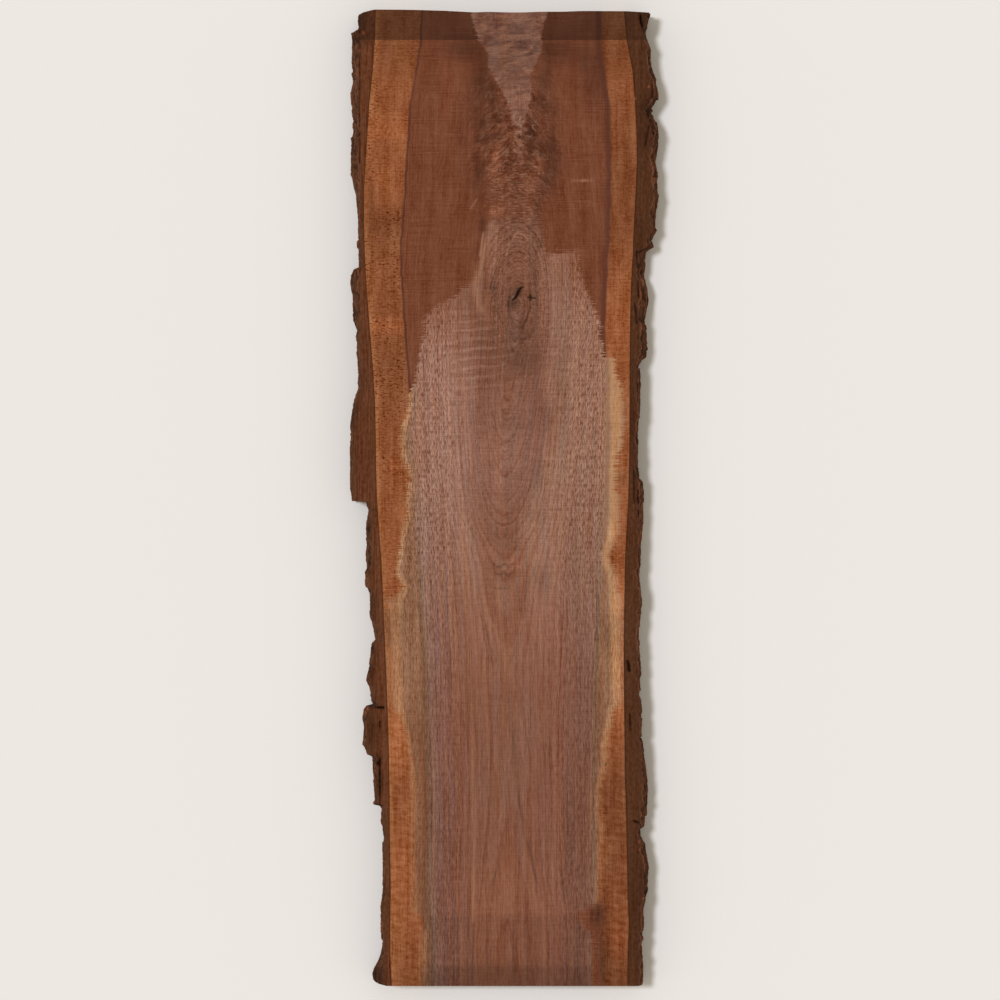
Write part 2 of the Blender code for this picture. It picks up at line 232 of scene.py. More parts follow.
# Soft dark and light patches: (offset, station, half width, half length, change of tone).
PATCHES = (
    (22, 781, 19, 15, -0.3), (11, 700, 20, 15, -0.16), (13, 860, 9, 14, -0.25),
    (20, 845, 16, 34, -0.08), (22, 822, 13, 15, -0.16), (-15, 872, 6, 8, -0.25),
    (2, 362, 8, 30, -0.1), (0, 132, 9, 50, 0.1), (26, 1115, 6, 12, 0.1), (12, 132, 12, 30, 0.07),
    (-14, 912, 9, 26, 0.16), (-45.6, 1170, 28, 15, -0.62), (69, 1168, 24, 18, -0.5),
    (-35.6, 1130, 9, 20, -0.45), (51.8, 1131, 9, 22, -0.42), (-25.6, 1077, 10, 10, -0.6),
    (-23, 1058, 14, 6, -0.5), (-6, 1088, 8, 10, -0.4), (35, 1066, 7, 15, -0.8),
    (44, 1102, 10, 9, -0.45), (57, 1046, 13, 20, -0.45), (56, 1012, 10, 20, -0.45),
    (-32, 1024, 7, 22, -0.3), (-10.6, 1036, 5, 13, 0.6), (-26, 1136, 7, 24, -0.54),
    (20, 1062, 4, 14, 0.1), (30, 1049, 6, 22, -0.4), (-9, 632, 9, 20, 0.14), (43, 1026, 5, 9, 0.45),
    (-4, 1008, 14, 9, 0.16), (30, 996, 8, 12, 0.2), (-9.4, 966, 8, 6, 0.45), (12, 948, 14, 8, 0.16),
    (-28, 953, 4, 10, -0.34), (40.6, 971, 5, 14, -0.45), (45, 928, 4, 8, -0.35),
    (118, 1150, 7, 60, -0.3), (-62, 1130, 20, 40, 0.06), (103, 1123, 16, 30, -0.2),
    (36, 885, 4, 52, -0.16), (-70, 960, 30, 50, 0.05), (-143, 442, 7, 22, -0.26),
    (-147, 475, 6, 5, 0.2), (-128, 464, 4, 24, -0.28), (141, 384, 6, 34, 0.24),
    (137, 475, 8, 10, 0.2), (127, 436, 8, 20, -0.2), (-152, 440, 7, 20, -0.1),
    (82, 1060, 18, 50, 0.06), (116, 91, 9, 10, -0.42), (112, 80, 9, 9, -0.22),
    (122.5, 28, 6, 55, -0.5), (121, 92, 8, 12, -0.24), (72, 752, 9, 125, -0.22),
    (55, 706, 8, 24, -0.18), (42, 632, 8, 36, -0.26), (47, 506, 12, 16, -0.3),
    (12, 530, 8, 12, 0.34), (-18, 544, 9, 10, 0.22), (102, 1158, 9, 22, -0.4),
    (147, 486, 8, 22, 0.26), (132, 566, 8, 14, 0.22), (34, 589, 10, 9, -0.22),
    (-167, 985, 6, 20, -0.25), (42, 1039, 7, 8, -0.3), (147, 634, 7, 9, -0.28),
    (-138, 649, 6, 9, 0.25), (-123, 709, 6, 10, 0.16), (-123, 365, 6, 13, 0.2),
    (-153, 1009, 8, 10, 0.18), (-33, 919, 6, 9, -0.2), (132, 155, 8, 12, -0.18),
    (44, 84, 12, 20, -0.1), (20, 95, 12, 40, -0.07), (129, 45, 5, 45, -0.14),
    (143, 45, 7, 40, 0.22), (-52, 1080, 6, 60, -0.1), (-75, 1100, 8, 60, 0.08),
    (-92, 1060, 9, 90, 0.05), (-17, 1114, 8, 18, -0.55), (53, 1172, 9, 14, -0.35),
    (43, 1128, 6, 14, -0.2), (-38, 1098, 9, 14, -0.24), (61, 1092, 11, 15, -0.26),
    (40, 1086, 7, 10, -0.22), (8, 1038, 12, 10, -0.2), (-35, 998, 6, 18, -0.22),
    (50, 1000, 7, 14, -0.22), (66, 1030, 8, 14, -0.16), (16, 999, 22, 22, -0.15),
    (16, 950, 26, 12, -0.2), (0, 18, 50, 16, -0.13), (-85, 28, 18, 30, 0.13),
    (-25, 944, 9, 10, -0.26), (-35, 1136, 6, 12, 0.1), (-14, 1018, 8, 8, 0.22),
)

# Marks in the figure and painted shade in the knot's open crack: half width, darkness (below 0
# for light marks), points as (offset, station).
MARKS = (
    # The first two marks lie along the knot's open crack and paint its inside dark: painted shade.
    (1.1, 0.9, ((24, 873), (20.5, 871.5), (17.2, 866), (14.6, 860), (11, 857))),
    (1.6, 0.7, ((19.2, 869.5), (16.6, 864))), (5.5, 0.42, ((17, 869), (13, 860), (8, 852))),
    (3.5, 0.22, ((13, 850), (10, 842))), (1.5, 0.6, ((6.1, 861), (6.1, 859))),
    (1.1, -0.8, ((10.6, 861), (10.4, 860))), (1.4, 0.8, ((32.2, 862), (32.2, 857.5))),
    (1.2, 0.75, ((29.5, 860), (38.5, 858.8))),
    (1.6, 0.55, ((31.6, 869.5), (32.2, 859.2), (31.6, 846.5), (28.3, 833.7), (21.3, 821))),
    (1.8, 0.44, ((4.2, 854.3), (6.1, 837.7), (11.2, 827.4))),
    (2.4, 0.36, (
        (-9.2, 861), (-7.9, 841), (-2.9, 827), (6.1, 816), (18.9, 807), (30.3, 809.6), (38, 822.4),
        (40.5, 841.5), (40, 870), (37, 890),
    )),
    (1.5, 0.5, ((-18.1, 875), (-18.1, 871))), (1.4, 0.5, ((-12.4, 874.5), (-12.4, 868.5))),
    (1.6, 0.28, ((-23.2, 898), (-24.5, 880), (-23.2, 863))),
    (6.5, -0.34, ((-16, 950), (-23, 925), (-30, 900), (-35, 880), (-34, 858), (-30, 845))),
    (3.0, -0.24, ((-9.4, 945), (-9.6, 927), (-11.9, 905), (-19.4, 893))),
    (1.5, -0.4, ((7.4, 927), (2.2, 913))),
    (1.1, -0.36, ((4, 925), (9.4, 931.5), (16.2, 942), (25.2, 937), (30, 930))),
    (1.1, -0.2, ((0, 934), (9, 942), (17, 950), (27, 944), (34, 936))),
    (1.1, 0.22, ((2, 930), (9, 937), (16.5, 946), (26, 941), (32, 933))),
    (1.3, 0.6, ((9.9, 795), (9.9, 793.6))),
    (1.9, 0.27, (
        (10.2, 317), (12.5, 282), (14.4, 253), (17.9, 232), (20.6, 213), (23.7, 189), (28.5, 180),
        (32.3, 162), (36.8, 143), (40.0, 130), (40.6, 110),
    )),
    (1.4, 0.3, ((48.7, 135), (51.6, 120), (53.4, 110), (56.3, 95))),
    (1.4, 0.32, ((68.8, 147), (72.7, 127), (76.2, 110))),
    (1.3, 0.26, ((-10.0, 156), (-11.9, 137), (-13.1, 114), (-15.6, 87))),
    (2.4, -0.26, ((-38.7, 314), (-38.7, 200), (-38.7, 80))),
    (2.6, -0.2, ((-11.0, 312), (-11.0, 270))),
    (1.3, 0.36, ((-36.0, 530), (-32.0, 497), (-26.8, 466), (-20.6, 432), (-14.4, 400))),
    (1.3, 0.32, ((-72.0, 490), (-69.0, 432), (-65.5, 368))),
    (1.2, 0.28, ((-46.8, 457), (-43.1, 407), (-41.8, 356))),
    (2.0, -0.26, ((-62.5, 470), (-59.0, 420), (-58.0, 356))),
    (2.0, -0.24, ((-29.5, 520), (-22.0, 470), (-16.0, 432))),
    (1.2, -0.26, ((12.5, 793.7), (21.3, 793.7))), (3.2, 0.34, ((-18.1, 1030), (-33.1, 1012.5))),
    (3.2, 0.2, ((-39.3, 1037.5), (-48, 1016))), (2.6, 0.26, ((-30, 1110), (-46, 1075))),
    (2.6, 0.26, ((48, 1098), (62, 1062), (64, 1040))), (2.0, -0.28, ((84.0, 1005.6), (99, 1005.6))),
    (2.2, -0.34, ((99, 1005.6), (108.5, 1005.6))), (1.2, -0.3, ((90, 979.4), (108, 979.4))),
    (1.2, -0.22, ((88, 1073.7), (104, 1073.7))), (1.2, -0.3, ((-42.3, 971), (-34.3, 982.6))),
    (1.2, -0.6, ((42.9, 1014.4), (43.2, 1014.6))), (1.2, -0.5, ((48.1, 1015.1), (48.3, 1015.3))),
    (1.2, -0.45, ((37, 992.5), (37.2, 992.7))),
    (1.2, 0.22, ((-21.8, 732), (-11.9, 707), (-9.4, 657))),
    (1.2, 0.26, ((-1.9, 709), (4.4, 712), (11.9, 707), (19.4, 712))),
    (1.2, 0.22, ((-14.4, 572), (-4.4, 556), (6.9, 572))),
    (1.5, 0.56, ((-13.1, 526), (-6.9, 523), (-0.6, 526), (5.6, 524), (10.6, 527))),
    (1.5, -0.3, ((-11.9, 521), (-6.9, 518), (-0.6, 521), (4.4, 518), (10.6, 521))),
    (1.5, 0.56, ((-11.9, 516.5), (-6.9, 512.5), (-0.6, 516.5), (4.4, 512.5), (10.6, 516.5))),
    (1.5, 0.4, ((-15.6, 498), (-9.4, 496), (4.4, 497))),
    (1.4, 0.36, ((38.7, 522), (33.6, 511), (28.1, 494), (26, 482), (23.5, 458))),
    (1.2, 0.3, ((60.6, 614), (65.5, 614))), (1.2, 0.2, ((31.8, 587), (45.6, 589), (59.3, 587))),
    (1.4, 0.22, ((-23.1, 451), (-15.6, 419), (-5.6, 397))),
    (1.4, 0.22, ((20.6, 444), (10.6, 413), (3.1, 395))),
    (2.4, 0.2, (
        (8, 350), (10.4, 331), (13.7, 305), (17.6, 266), (19.4, 227), (28, 191), (36.8, 150),
        (43.4, 124), (45.9, 109),
    )),
    (1.2, 0.3, ((48, 160), (52.4, 137), (61.4, 99))),
    (1.2, 0.26, ((70, 150), (71.8, 137), (82, 101))),
    (1.2, -0.34, ((-26.5, 940), (-29.5, 925), (-31, 912))),
    (1.6, 0.3, ((45, 952), (46.5, 938), (46, 924))),
    (1.1, -0.16, ((-10, 82), (58.9, 89.3), (108, 98.3), (123, 103.6))),
    (1.1, -0.22, ((116, 290), (119, 230), (120, 160), (122, 115))),
    (1.3, 0.22, ((-91.5, 300), (-91, 200), (-90.5, 120))),
    (1.2, 0.2, ((122.5, 92), (123, 50), (123, 10))),
    (1.3, 0.26, ((-0.6, 195), (-8.1, 150), (-15.6, 124))), (1.6, 0.85, ((126, 278), (126.5, 276))),
    (1.3, -0.32, ((124, 724), (123.6, 640))),
    (1.2, 0.28, ((122.5, 617), (121.5, 570), (119.5, 540))),
)

# How deep below the show face its marks and its damp field begin to fade, where they end, and how
# far from the damp field's border it is measured.
FACE_LAYER = 4.0
FACE_FADE = 9.0
DAMP_REACH = 40.0

# The wood's mesh: columns and rows of its face, how many of them one step of its back spans,
# the heights of the rows round its sides, and at how many places its spacing is worked out.
FACE_COLUMNS = 171
FACE_ROWS = 496
BACK_STEP = 5
SIDE_HEIGHTS = (42.0, 30.0, 15.0)
SPACING_SAMPLES = 4001

# The bark's mesh: spacing of its rows, and columns round a section on its inner side, its sawn
# top, its outer side and its underside.
BARK_ROW = 1.45
INNER_COLUMNS = 5
TOP_COLUMNS = 20
OUTER_COLUMNS = 44
UNDER_COLUMNS = 6

# Plates and small flakes of the outer bark: lengths along the slab, heights, and how far the
# plates climb along it for each mm up. Bark is left at least as thick as the last number.
PLATE_LENGTH = 27.0
PLATE_HEIGHT = 6.5
PLATE_CLIMB = 3.0
FLAKE_LENGTH = 8.0
FLAKE_HEIGHT = 2.6
THINNEST_BARK = 0.9

# Steps in the bark's edge from flake to flake: their shortest and longest length, how many there
# are at most, and how far they reach in or out.
STEP_LENGTHS = (5.0, 24.0)
STEP_COUNT = 120
STEP_REACH = 0.45

# Flakes that stand out from the bark's edge, and chips broken out of it where below 0, as
# (first station, last station, change of reach).
BARK_CHIPS = {
    LEFT: (
        (1190, 1213, 1.4), (1084, 1096, 1.0), (922, 932, 2.0), (822, 840, 0.8), (568, 582, 0.8),
        (497, 508, 1.2), (360, 382, 1.0), (222, 230, 1.4), (612, 690, 0.5), (690, 696, -0.8),
        (1040, 1052, 0.5), (1150, 1166, 0.4), (400, 409, 0.9),
    ),
    RIGHT: (
        (1097, 1108, -2.6), (1086, 1096, 1.2), (920, 931, 2.4), (905, 918, -1.6), (772, 795, -2.4),
        (310, 333, 1.8), (185, 210, -2.4), (0, 60, 0.9), (1056, 1060, -0.8), (980, 990, 0.6),
        (812, 826, 0.7), (603, 620, 1.2), (60, 66, -0.6), (96, 122, 0.7),
    ),
}

# Cracks and pits in the sawn top of the bark: two ends as (offset, station), half width, depth.
BARK_CRACKS = {
    LEFT: (
        ((-181, 1192), (-181, 1190), 1.6, 4.0), ((-161, 348), (-151.5, 347.5), 1.2, 5.0),
        ((-155, 331), (-155, 323), 0.9, 3.0), ((-158, 279), (-158, 278), 1.8, 4.0),
        ((-155.5, 282), (-155.5, 226), 0.8, 3.5), ((-142, 26), (-141.5, 24), 1.8, 4.0),
        ((-180.8, 1186), (-180.4, 1120), 0.8, 2.4), ((-160, 705), (-160, 640), 0.7, 1.0),
        ((-181.2, 1120), (-180.6, 1028), 0.8, 2.4), ((-187, 1070), (-183, 1062), 1.2, 3.0),
        ((-163, 226), (-153.6, 225.5), 1.0, 4.0), ((-166, 1210), (-166, 1190), 0.7, 1.6),
    ),
    RIGHT: (
        ((169.6, 1214), (170.6, 1203), 1.1, 6.0), ((170.8, 1203), (175.4, 1187), 0.9, 6.0),
        ((184.5, 1151), (184.8, 1100), 0.9, 3.0), ((178, 1094), (188, 1062), 1.2, 4.5),
        ((167, 619), (169.5, 557), 0.9, 4.5), ((154, 405), (156, 394), 1.6, 5.0),
        ((156.7, 340), (157, 320), 0.8, 3.0), ((162, 206), (170, 203), 1.0, 4.0),
        ((165.5, 917), (167.5, 860), 1.0, 3.0), ((172.9, 854), (173.2, 835), 0.9, 3.0),
        ((166.7, 778), (166.5, 743), 0.9, 3.0), ((161.7, 644), (161.9, 603), 0.8, 2.6),
        ((163, 853), (166, 828), 1.2, 3.0), ((181, 1075), (176, 1050), 1.0, 2.5),
    ),
}

# Dark and light areas of the bark: (offset, station, half width, half length, change of tone).
BARK_PATCHES = (
    (-177, 1204, 7, 13, -0.42), (-173, 1184, 9, 9, -0.42), (-183.5, 1204, 3, 7, -0.6),
    (-187, 1028, 4, 22, -0.3), (-186, 1180, 4, 8, -0.3), (-164, 319, 11, 32, -0.42),
    (-156, 256, 5, 16, -0.7), (-158, 12, 13, 20, -0.8), (-172, 680, 10, 80, -0.14),
    (-165, 395, 12, 60, -0.1), (171, 1100, 4, 70, -0.16), (176, 1096, 7, 14, -0.3),
    (172, 945, 6, 14, -0.22), (168, 1197, 7, 14, 0.4), (168, 920, 4, 16, -0.25),
    (160, 560, 5, 80, 0.06), (166, 510, 5, 18, 0.2), (162, 455, 9, 36, 0.05),
    (158, 770, 5, 40, -0.18), (160, 700, 5, 30, -0.18), (164, 100, 9, 60, -0.08),
    (170.5, 590, 3, 32, 0.6), (174, 880, 4, 26, 0.4), (-187, 722, 3.5, 8, -0.6),
    (-190, 706, 4, 10, -0.6), (-190, 882, 4, 12, -0.4), (-187, 838, 4, 7, -0.4),
    (-169, 570, 3, 14, -0.55), (-170, 522, 3, 12, -0.55), (-164, 474, 3.5, 14, -0.55),
    (-165, 420, 4, 10, -0.45), (-167, 392, 4, 10, -0.55), (-171, 352, 8, 5, -0.7),
    (-156, 284, 4, 7, -0.6), (-166, 300, 2.5, 40, -0.3), (-141, 30, 5, 26, 0.35),
    (180, 1100, 5, 16, -0.35), (176, 1062, 8, 16, -0.25), (165, 640, 3, 12, -0.35),
    (171, 1214, 4, 8, -0.3), (165, 432, 4, 10, 0.2), (186, 1010, 4, 18, 0.35),
    (174, 128, 4, 24, -0.32), (162, 128, 6, 40, -0.14),
)

# Reddish flecks of fresh bark: (offset, station, radius).
BARK_FLECKS = (
    (-176, 1190, 2.4), (-171, 346, 2.0), (-173.5, 341, 1.5), (180, 1123, 1.6), (174, 916, 1.8),
    (168, 180, 1.4), (168.5, 170, 1.3), (173.4, 109, 1.5), (-182, 1168, 1.3), (-186, 1136, 1.2),
    (163, 1108, 1.6), (170, 865, 1.4), (171, 540, 1.3),
)

# Widths in the figure: of a ring, between thin lines and between ripples of the curl, and how
# much waves climb across the slab.
RING_WIDTH = 5.2
THIN_LINE_SPACING = 2.7
RIPPLE_SPACING = 11.9
WAVE_TILT = -0.12

# Passages from the left half to the right one and along the dry tongue, in mm from the slab's
# middle, as the shader measures.
ACROSS_MIDDLE = (-20.0, 20.0)
TONGUE_TIP = (455.0, 500.0)
TONGUE_BODY = (505.0, 535.0)

# Sizes of the tables of random numbers, and how many sizes of bumps make rough noise.
NOISE_CELLS = 256
PLATE_CELLS = 64
NOISE_OCTAVES = 3

# How light is turned into what is seen, the smallest factor that shading takes, and the
# darkest colour that it leaves, as seen.
DISPLAY_GAMMA = 2.2
DARKEST_FACTOR = 0.02
DARKEST_SEEN = [0.03, 0.03, 0.03, 1.0]


def along(outline, station):
    """Values of an outline at stations, in straight lines between its points."""
    stations, values = zip(*outline)
    return np.interp(station, stations, values)


def along_side(left, right, offset, station):
    """Values of the left outline on the left half and of the right one on the right half."""
    return np.where(offset < 0.0, along(left, station), along(right, station))


def smooth_step(value, start, end):
    """From 0 at start to 1 at end, with level ends."""
    share = np.clip((value - start) / (end - start), 0.0, 1.0)
    return share * share * (3.0 - 2.0 * share)


def linear(colour):
    """A colour of 0 to 255 per channel as linear light."""
    share = np.asarray(colour, float) / 255.0
    return np.where(share <= 0.04045, share / 12.92, ((share + 0.055) / 1.055) ** 2.4)


def smooth_noise(u, v, seed):
    """Smooth noise from -1 to 1 whose bumps are one unit apart."""
    table = np.random.default_rng(seed).uniform(-1.0, 1.0, (NOISE_CELLS, NOISE_CELLS))
    whole_u = np.floor(u).astype(int)
    whole_v = np.floor(v).astype(int)
    share_u = smooth_step(u - whole_u, 0.0, 1.0)
    levels = []
    for step in (0, 1):
        level = (whole_v + step) % NOISE_CELLS
        near = table[whole_u % NOISE_CELLS, level]
        beside = table[(whole_u + 1) % NOISE_CELLS, level]
        levels.append(near + (beside - near) * share_u)
    return levels[0] + (levels[1] - levels[0]) * smooth_step(v - whole_v, 0.0, 1.0)


def rough_noise(u, v, seed):
    """Several sizes of smooth noise, each half as strong as the one before."""
    total = 0.0
    for octave in range(NOISE_OCTAVES):
        scale = 2.0 ** octave
        total = total + smooth_noise(u * scale, v * scale, seed + octave) / scale
    return total / (2.0 - 0.5 ** (NOISE_OCTAVES - 1))


def plates(u, v, seed):
    """Irregular cells one unit across: the distance from a cell's border, and its own value."""
    random = np.random.default_rng(seed)
    cells = (PLATE_CELLS, PLATE_CELLS)
    shift_u = random.uniform(0.1, 0.9, cells)
    shift_v = random.uniform(0.1, 0.9, cells)
    value = random.uniform(0.0, 1.0, cells)
    whole_u = np.floor(u).astype(int)
    whole_v = np.floor(v).astype(int)
    nearest = np.full(np.shape(u), np.inf)
    second = nearest
    own = np.zeros(np.shape(u))
    for step_u in (-1, 0, 1):
        for step_v in (-1, 0, 1):
            cell = ((whole_u + step_u) % PLATE_CELLS, (whole_v + step_v) % PLATE_CELLS)
            run_u = whole_u + step_u + shift_u[cell] - u
            run_v = whole_v + step_v + shift_v[cell] - v
            distance = np.hypot(run_u, run_v)
            closer = distance < nearest
            second = np.where(closer, nearest, np.minimum(second, distance))
            own = np.where(closer, value[cell], own)
            nearest = np.where(closer, distance, nearest)
    return second - nearest, own


def oval(offset, station, middle, level, half_width, half_length):
    """Squared distance from the middle of an oval: 1 on its rim."""
    return ((offset - middle) / half_width) ** 2 + ((station - level) / half_length) ** 2


def patch_tone(patches, offset, station):
    """Sum of soft dark and light patches."""
    return sum(change * np.exp(-oval(offset, station, *spot)) for *spot, change in patches)


def segment_distance(offset, station, start, end):
    """Distance from points to the straight line between two points."""
    run = np.subtract(end, start).astype(float)
    share = ((offset - start[0]) * run[0] + (station - start[1]) * run[1]) / (run @ run)
    share = np.clip(share, 0.0, 1.0)
    return np.hypot(offset - start[0] - share * run[0], station - start[1] - share * run[1])


def outside_distance(offset, station, outline):
    """Distance outside a closed outline, and below 0 inside it."""
    distance = np.full(np.shape(offset), np.inf)
    inside = np.zeros(np.shape(offset), bool)
    for start, end in zip(outline, outline[1:] + outline[:1]):
        distance = np.minimum(distance, segment_distance(offset, station, start, end))
        if start[1] != end[1]:
            crosses = (station < start[1]) != (station < end[1])
            rise = (station - start[1]) / (end[1] - start[1])
            inside ^= crosses & (offset < start[0] + rise * (end[0] - start[0]))
    return np.where(inside, -distance, distance)


def mesh_points(mesh):
    """A mesh's corners as rows of offset, station and height."""
    points = np.zeros(len(mesh.vertices) * 3)
    mesh.vertices.foreach_get("co", points)
    points = points.reshape(-1, 3) / MM
    points[:, 1] -= FOOT
    return points


def edge_outlines(points, side, levels):
    """The outer edge of a node on one side: for each height, its stations and offsets."""
    outlines = []
    for height in levels:
        at_height = np.abs(points[:, 2] - height) < SAME_HEIGHT
        level = points[at_height & (side * points[:, 0] > NEAREST_EDGE)]
        at_end = level[:, 1] > LENGTH - TOP_CUT_REACH
        stations = np.where(at_end, LENGTH, level[:, 1])
        sorted_stations = np.sort(stations)
        known = sorted_stations[np.diff(sorted_stations, prepend=-1.0) > SAME_STATION]
        ring = np.searchsorted(known - 0.5 * SAME_STATION, stations) - 1
        reach = [side * (side * level[ring == number, 0]).max() for number in range(len(known))]
        outlines.append((known, np.array(reach)))
    return outlines


def edge_offset(outlines, levels, station, height):
    """Offsets of an edge at stations and heights, between the levels that it was read at."""
    station, height = np.broadcast_arrays(station, height)
    by_level = np.array([np.interp(station, known, reach) for known, reach in outlines])
    position = np.interp(height, levels, range(len(levels)))
    lower = np.clip(np.floor(position).astype(int), 0, len(levels) - 2)
    first = np.take_along_axis(by_level, lower[None], axis=0)[0]
    last = np.take_along_axis(by_level, lower[None] + 1, axis=0)[0]
    return first + (position - lower) * (last - first)


NODE_POINTS = {name: mesh_points(node.data) for name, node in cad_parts.items()}
WOOD_EDGES = {
    side: edge_outlines(NODE_POINTS["wood"], side, WOOD_LEVELS) for side in (LEFT, RIGHT)
}
ALL_POINTS = np.vstack(list(NODE_POINTS.values()))
TOP_POINTS = ALL_POINTS[ALL_POINTS[:, 1] > LENGTH - TOP_CUT_REACH]
TOP_POINTS = TOP_POINTS[np.argsort(TOP_POINTS[:, 0])]


def wood_edge(side, station, height):
    """Offset of the wood's edge."""
    return edge_offset(WOOD_EDGES[side], WOOD_LEVELS, station, height)


def place(offset, station, height):
    """Points in metres; the last stations lean to the cut at the top."""
    shortfall = LENGTH - np.interp(offset, TOP_POINTS[:, 0], TOP_POINTS[:, 1])
    shortfall = shortfall + along(TOP_DIP, offset)
    share = np.clip((station - LENGTH) / TOP_CUT_BAY + 1.0, 0.0, 1.0)
    points = np.stack([offset, station - shortfall * share + FOOT, height], axis=-1)
    return points.reshape(-1, 3) * MM


def grid_faces(index):
    """Four-sided faces over a grid of vertex numbers."""
    corners = (index[:-1, :-1], index[:-1, 1:], index[1:, 1:], index[1:, :-1])
    return np.stack([corner.ravel() for corner in corners], axis=1).tolist()


def link(name, data):
    """A new object in the scene."""
    thing = bpy.data.objects.new(name, data)
    bpy.context.scene.collection.objects.link(thing)
    return thing


def new_piece(name, points, faces, node, material):
    """A mesh object that stands for a CAD node."""
    mesh = bpy.data.meshes.new(name)
    mesh.from_pydata(points.tolist(), [], faces)
    shape = bmesh.new()
    shape.from_mesh(mesh)
    bmesh.ops.recalc_face_normals(shape, faces=shape.faces)
    shape.to_mesh(mesh)
    shape.free()
    mesh.materials.append(material)
    mesh.shade_smooth()
    mesh.set_sharp_from_angle(angle=math.radians(SHARP_ANGLE))
    piece = link(name, mesh)
    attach(piece, "root")
    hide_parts(node)
    return piece


def store(piece, name, values):
    """Keeps one number for each vertex under a name that the material reads."""
    attribute = piece.data.attributes.new(name, "FLOAT", "POINT")
    attribute.data.foreach_set("value", np.ascontiguousarray(values, np.float32).ravel())


def store_colour(piece, name, values):
    """Keeps one colour for each vertex under a name that the material reads."""
    attribute = piece.data.attributes.new(name, "FLOAT_COLOR", "POINT")
    opaque = np.concatenate([values, np.ones((len(values), 1))], axis=1)
    attribute.data.foreach_set("color", np.ascontiguousarray(opaque, np.float32).ravel())


# Figure of the wood.


def across_share(offset, station):
    """Place across the heartwood: -1 and 1 at the sapwood, 0 over the pith."""
    middle = along(PITH_LINE, station)
    left = middle - along(HEART_LEFT, station)
    right = along(HEART_RIGHT, station) - middle
    return (offset - middle) / np.where(offset < middle, left, right)


def ring_radius(offset, station, height):
    """Distance from the pith as the growth rings measure it, with the rings round the knot."""
    depth = along(PITH_DEPTH, station)
    width = np.sqrt(HEART_RADIUS ** 2 - depth ** 2)
    below = THICKNESS - height
    radius = np.hypot(across_share(offset, station) * width, depth - below)
    return radius - KNOT_RISE * np.exp(-oval(offset, station, *KNOT) - below / KNOT_FADE)


def fibre_offset(offset, station):
    """Offset of a point as the fibres count it: they part round the knot and meet again."""
    run = offset - along(PITH_LINE, station)
    rise = (station - KNOT[1]) / KNOT_SPREAD_LENGTH
    spread = KNOT_SPREAD ** 2 * np.exp(-rise ** 2)
    return np.sign(run) * run ** 2 / np.sqrt(run ** 2 + spread + 1.0)


def zone_colour(zones, distance):
    """Linear colour between the zones at distances."""
    places, colours = zip(*zones)
    channels = linear(colours).T
    return np.stack([np.interp(distance, places, channel) for channel in channels], axis=-1)


def blend(share, first, second):
    """Colours from first to second as share goes from 0 to 1. A tuple is 0 to 255 per channel."""
    first, second = (
        linear(colour) if isinstance(colour, tuple) else colour for colour in (first, second)
    )
    return first + (second - first) * np.asarray(share)[..., None]


def toned(colour, factor):
    """Colours times a factor."""
    return colour * np.asarray(factor)[..., None]


def balanced(colour, share, change):
    """Colours whose red, green and blue are each changed by a share of their own."""
    return colour * (1.0 + share[..., None] * np.asarray(change))


def mark_strength(offset, station):
    """How dark the drawn marks are, below 0 where they are light."""
    strength = np.zeros(np.shape(offset))
    for half_width, darkness, points in MARKS:
        nearest = np.full(np.shape(offset), np.inf)
        for start, end in zip(points, points[1:]):
            nearest = np.minimum(nearest, segment_distance(offset, station, start, end))
        strength += darkness * np.exp(-(nearest / half_width) ** 2)
    return np.clip(strength, -1.0, 1.0)


def flank_share(offset, station):
    """0 in the dry middle of the face and 1 in the paler flanks beside it."""
    upper = 0.0
    ragged = offset + 3.0 * smooth_noise(offset / 10.0, station / 24.0, 45)
    for side, edge in MIDDLE_EDGES.items():
        stations, middles, widths = zip(*edge)
        middle = np.interp(station, stations, middles)
        width = np.interp(station, stations, widths)
        upper = np.maximum(upper, smooth_step(side * (ragged - middle), -width, width))
    lower = smooth_step(np.abs(across_share(offset, station)), 0.25, 0.65)
    return upper + smooth_step(station, 560.0, 430.0) * (lower - upper)


def dry_heart(offset, station, sap_left, sap_right):
    """Colour of the dry heartwood before grain."""
    # Zones run along the sapwood on both sides. Those on the left lie further in at the foot.
    inset = 8.0 * smooth_step(station, 125.0, 50.0)
    middle = smooth_step(across_share(offset, station), -0.15, 0.15)
    from_left = zone_colour(DRY_ZONES_LEFT, -sap_left - inset)
    heart = blend(middle, from_left, zone_colour(DRY_ZONES_RIGHT, -sap_right))
    flank = flank_share(offset, station)
    tone = (1.0 - flank) * along(MIDDLE_TONE, station) + flank * along(FLANK_TONE, station)
    heart = toned(heart, tone * along(FOOT_TONE, station))
    # Upwards the flanks turn paler. The middle is greyer halfway up and redder near the foot.
    upper = smooth_step(station, 430.0, 680.0) * flank
    heart = blend(0.85 * upper, heart, blend(middle, (164, 122, 106), (159, 117, 98)))
    greyer = (1.0 - flank) * smooth_step(station, 560.0, 640.0) * smooth_step(station, 790.0, 700.0)
    heart = balanced(heart, greyer, (0.02, 0.11, 0.24))
    redder = (1.0 - flank) * smooth_step(station, 300.0, 120.0)
    heart = balanced(heart, redder, (-0.02, -0.07, -0.11))
    balance = np.stack([along(channel, station) for channel in DRY_BALANCE], axis=-1)
    heart = balanced(heart, 0.4 + 0.6 * flank, balance - 1.0)
    # The flanks are brown again beside the knot, and the tongue is a duller brown.
    shoulder = np.where(offset < 0.0, 770.0, 815.0)
    high = flank * smooth_step(station, shoulder, shoulder + 90.0)
    heart = blend(high, heart, (142, 97, 78))
    heart = blend(0.85 * smooth_step(station, 1040.0, 1100.0), heart, (121, 87, 75))
    return toned(heart, np.where(station > 1036.0, along(TONGUE_TONE, station), 1.0))


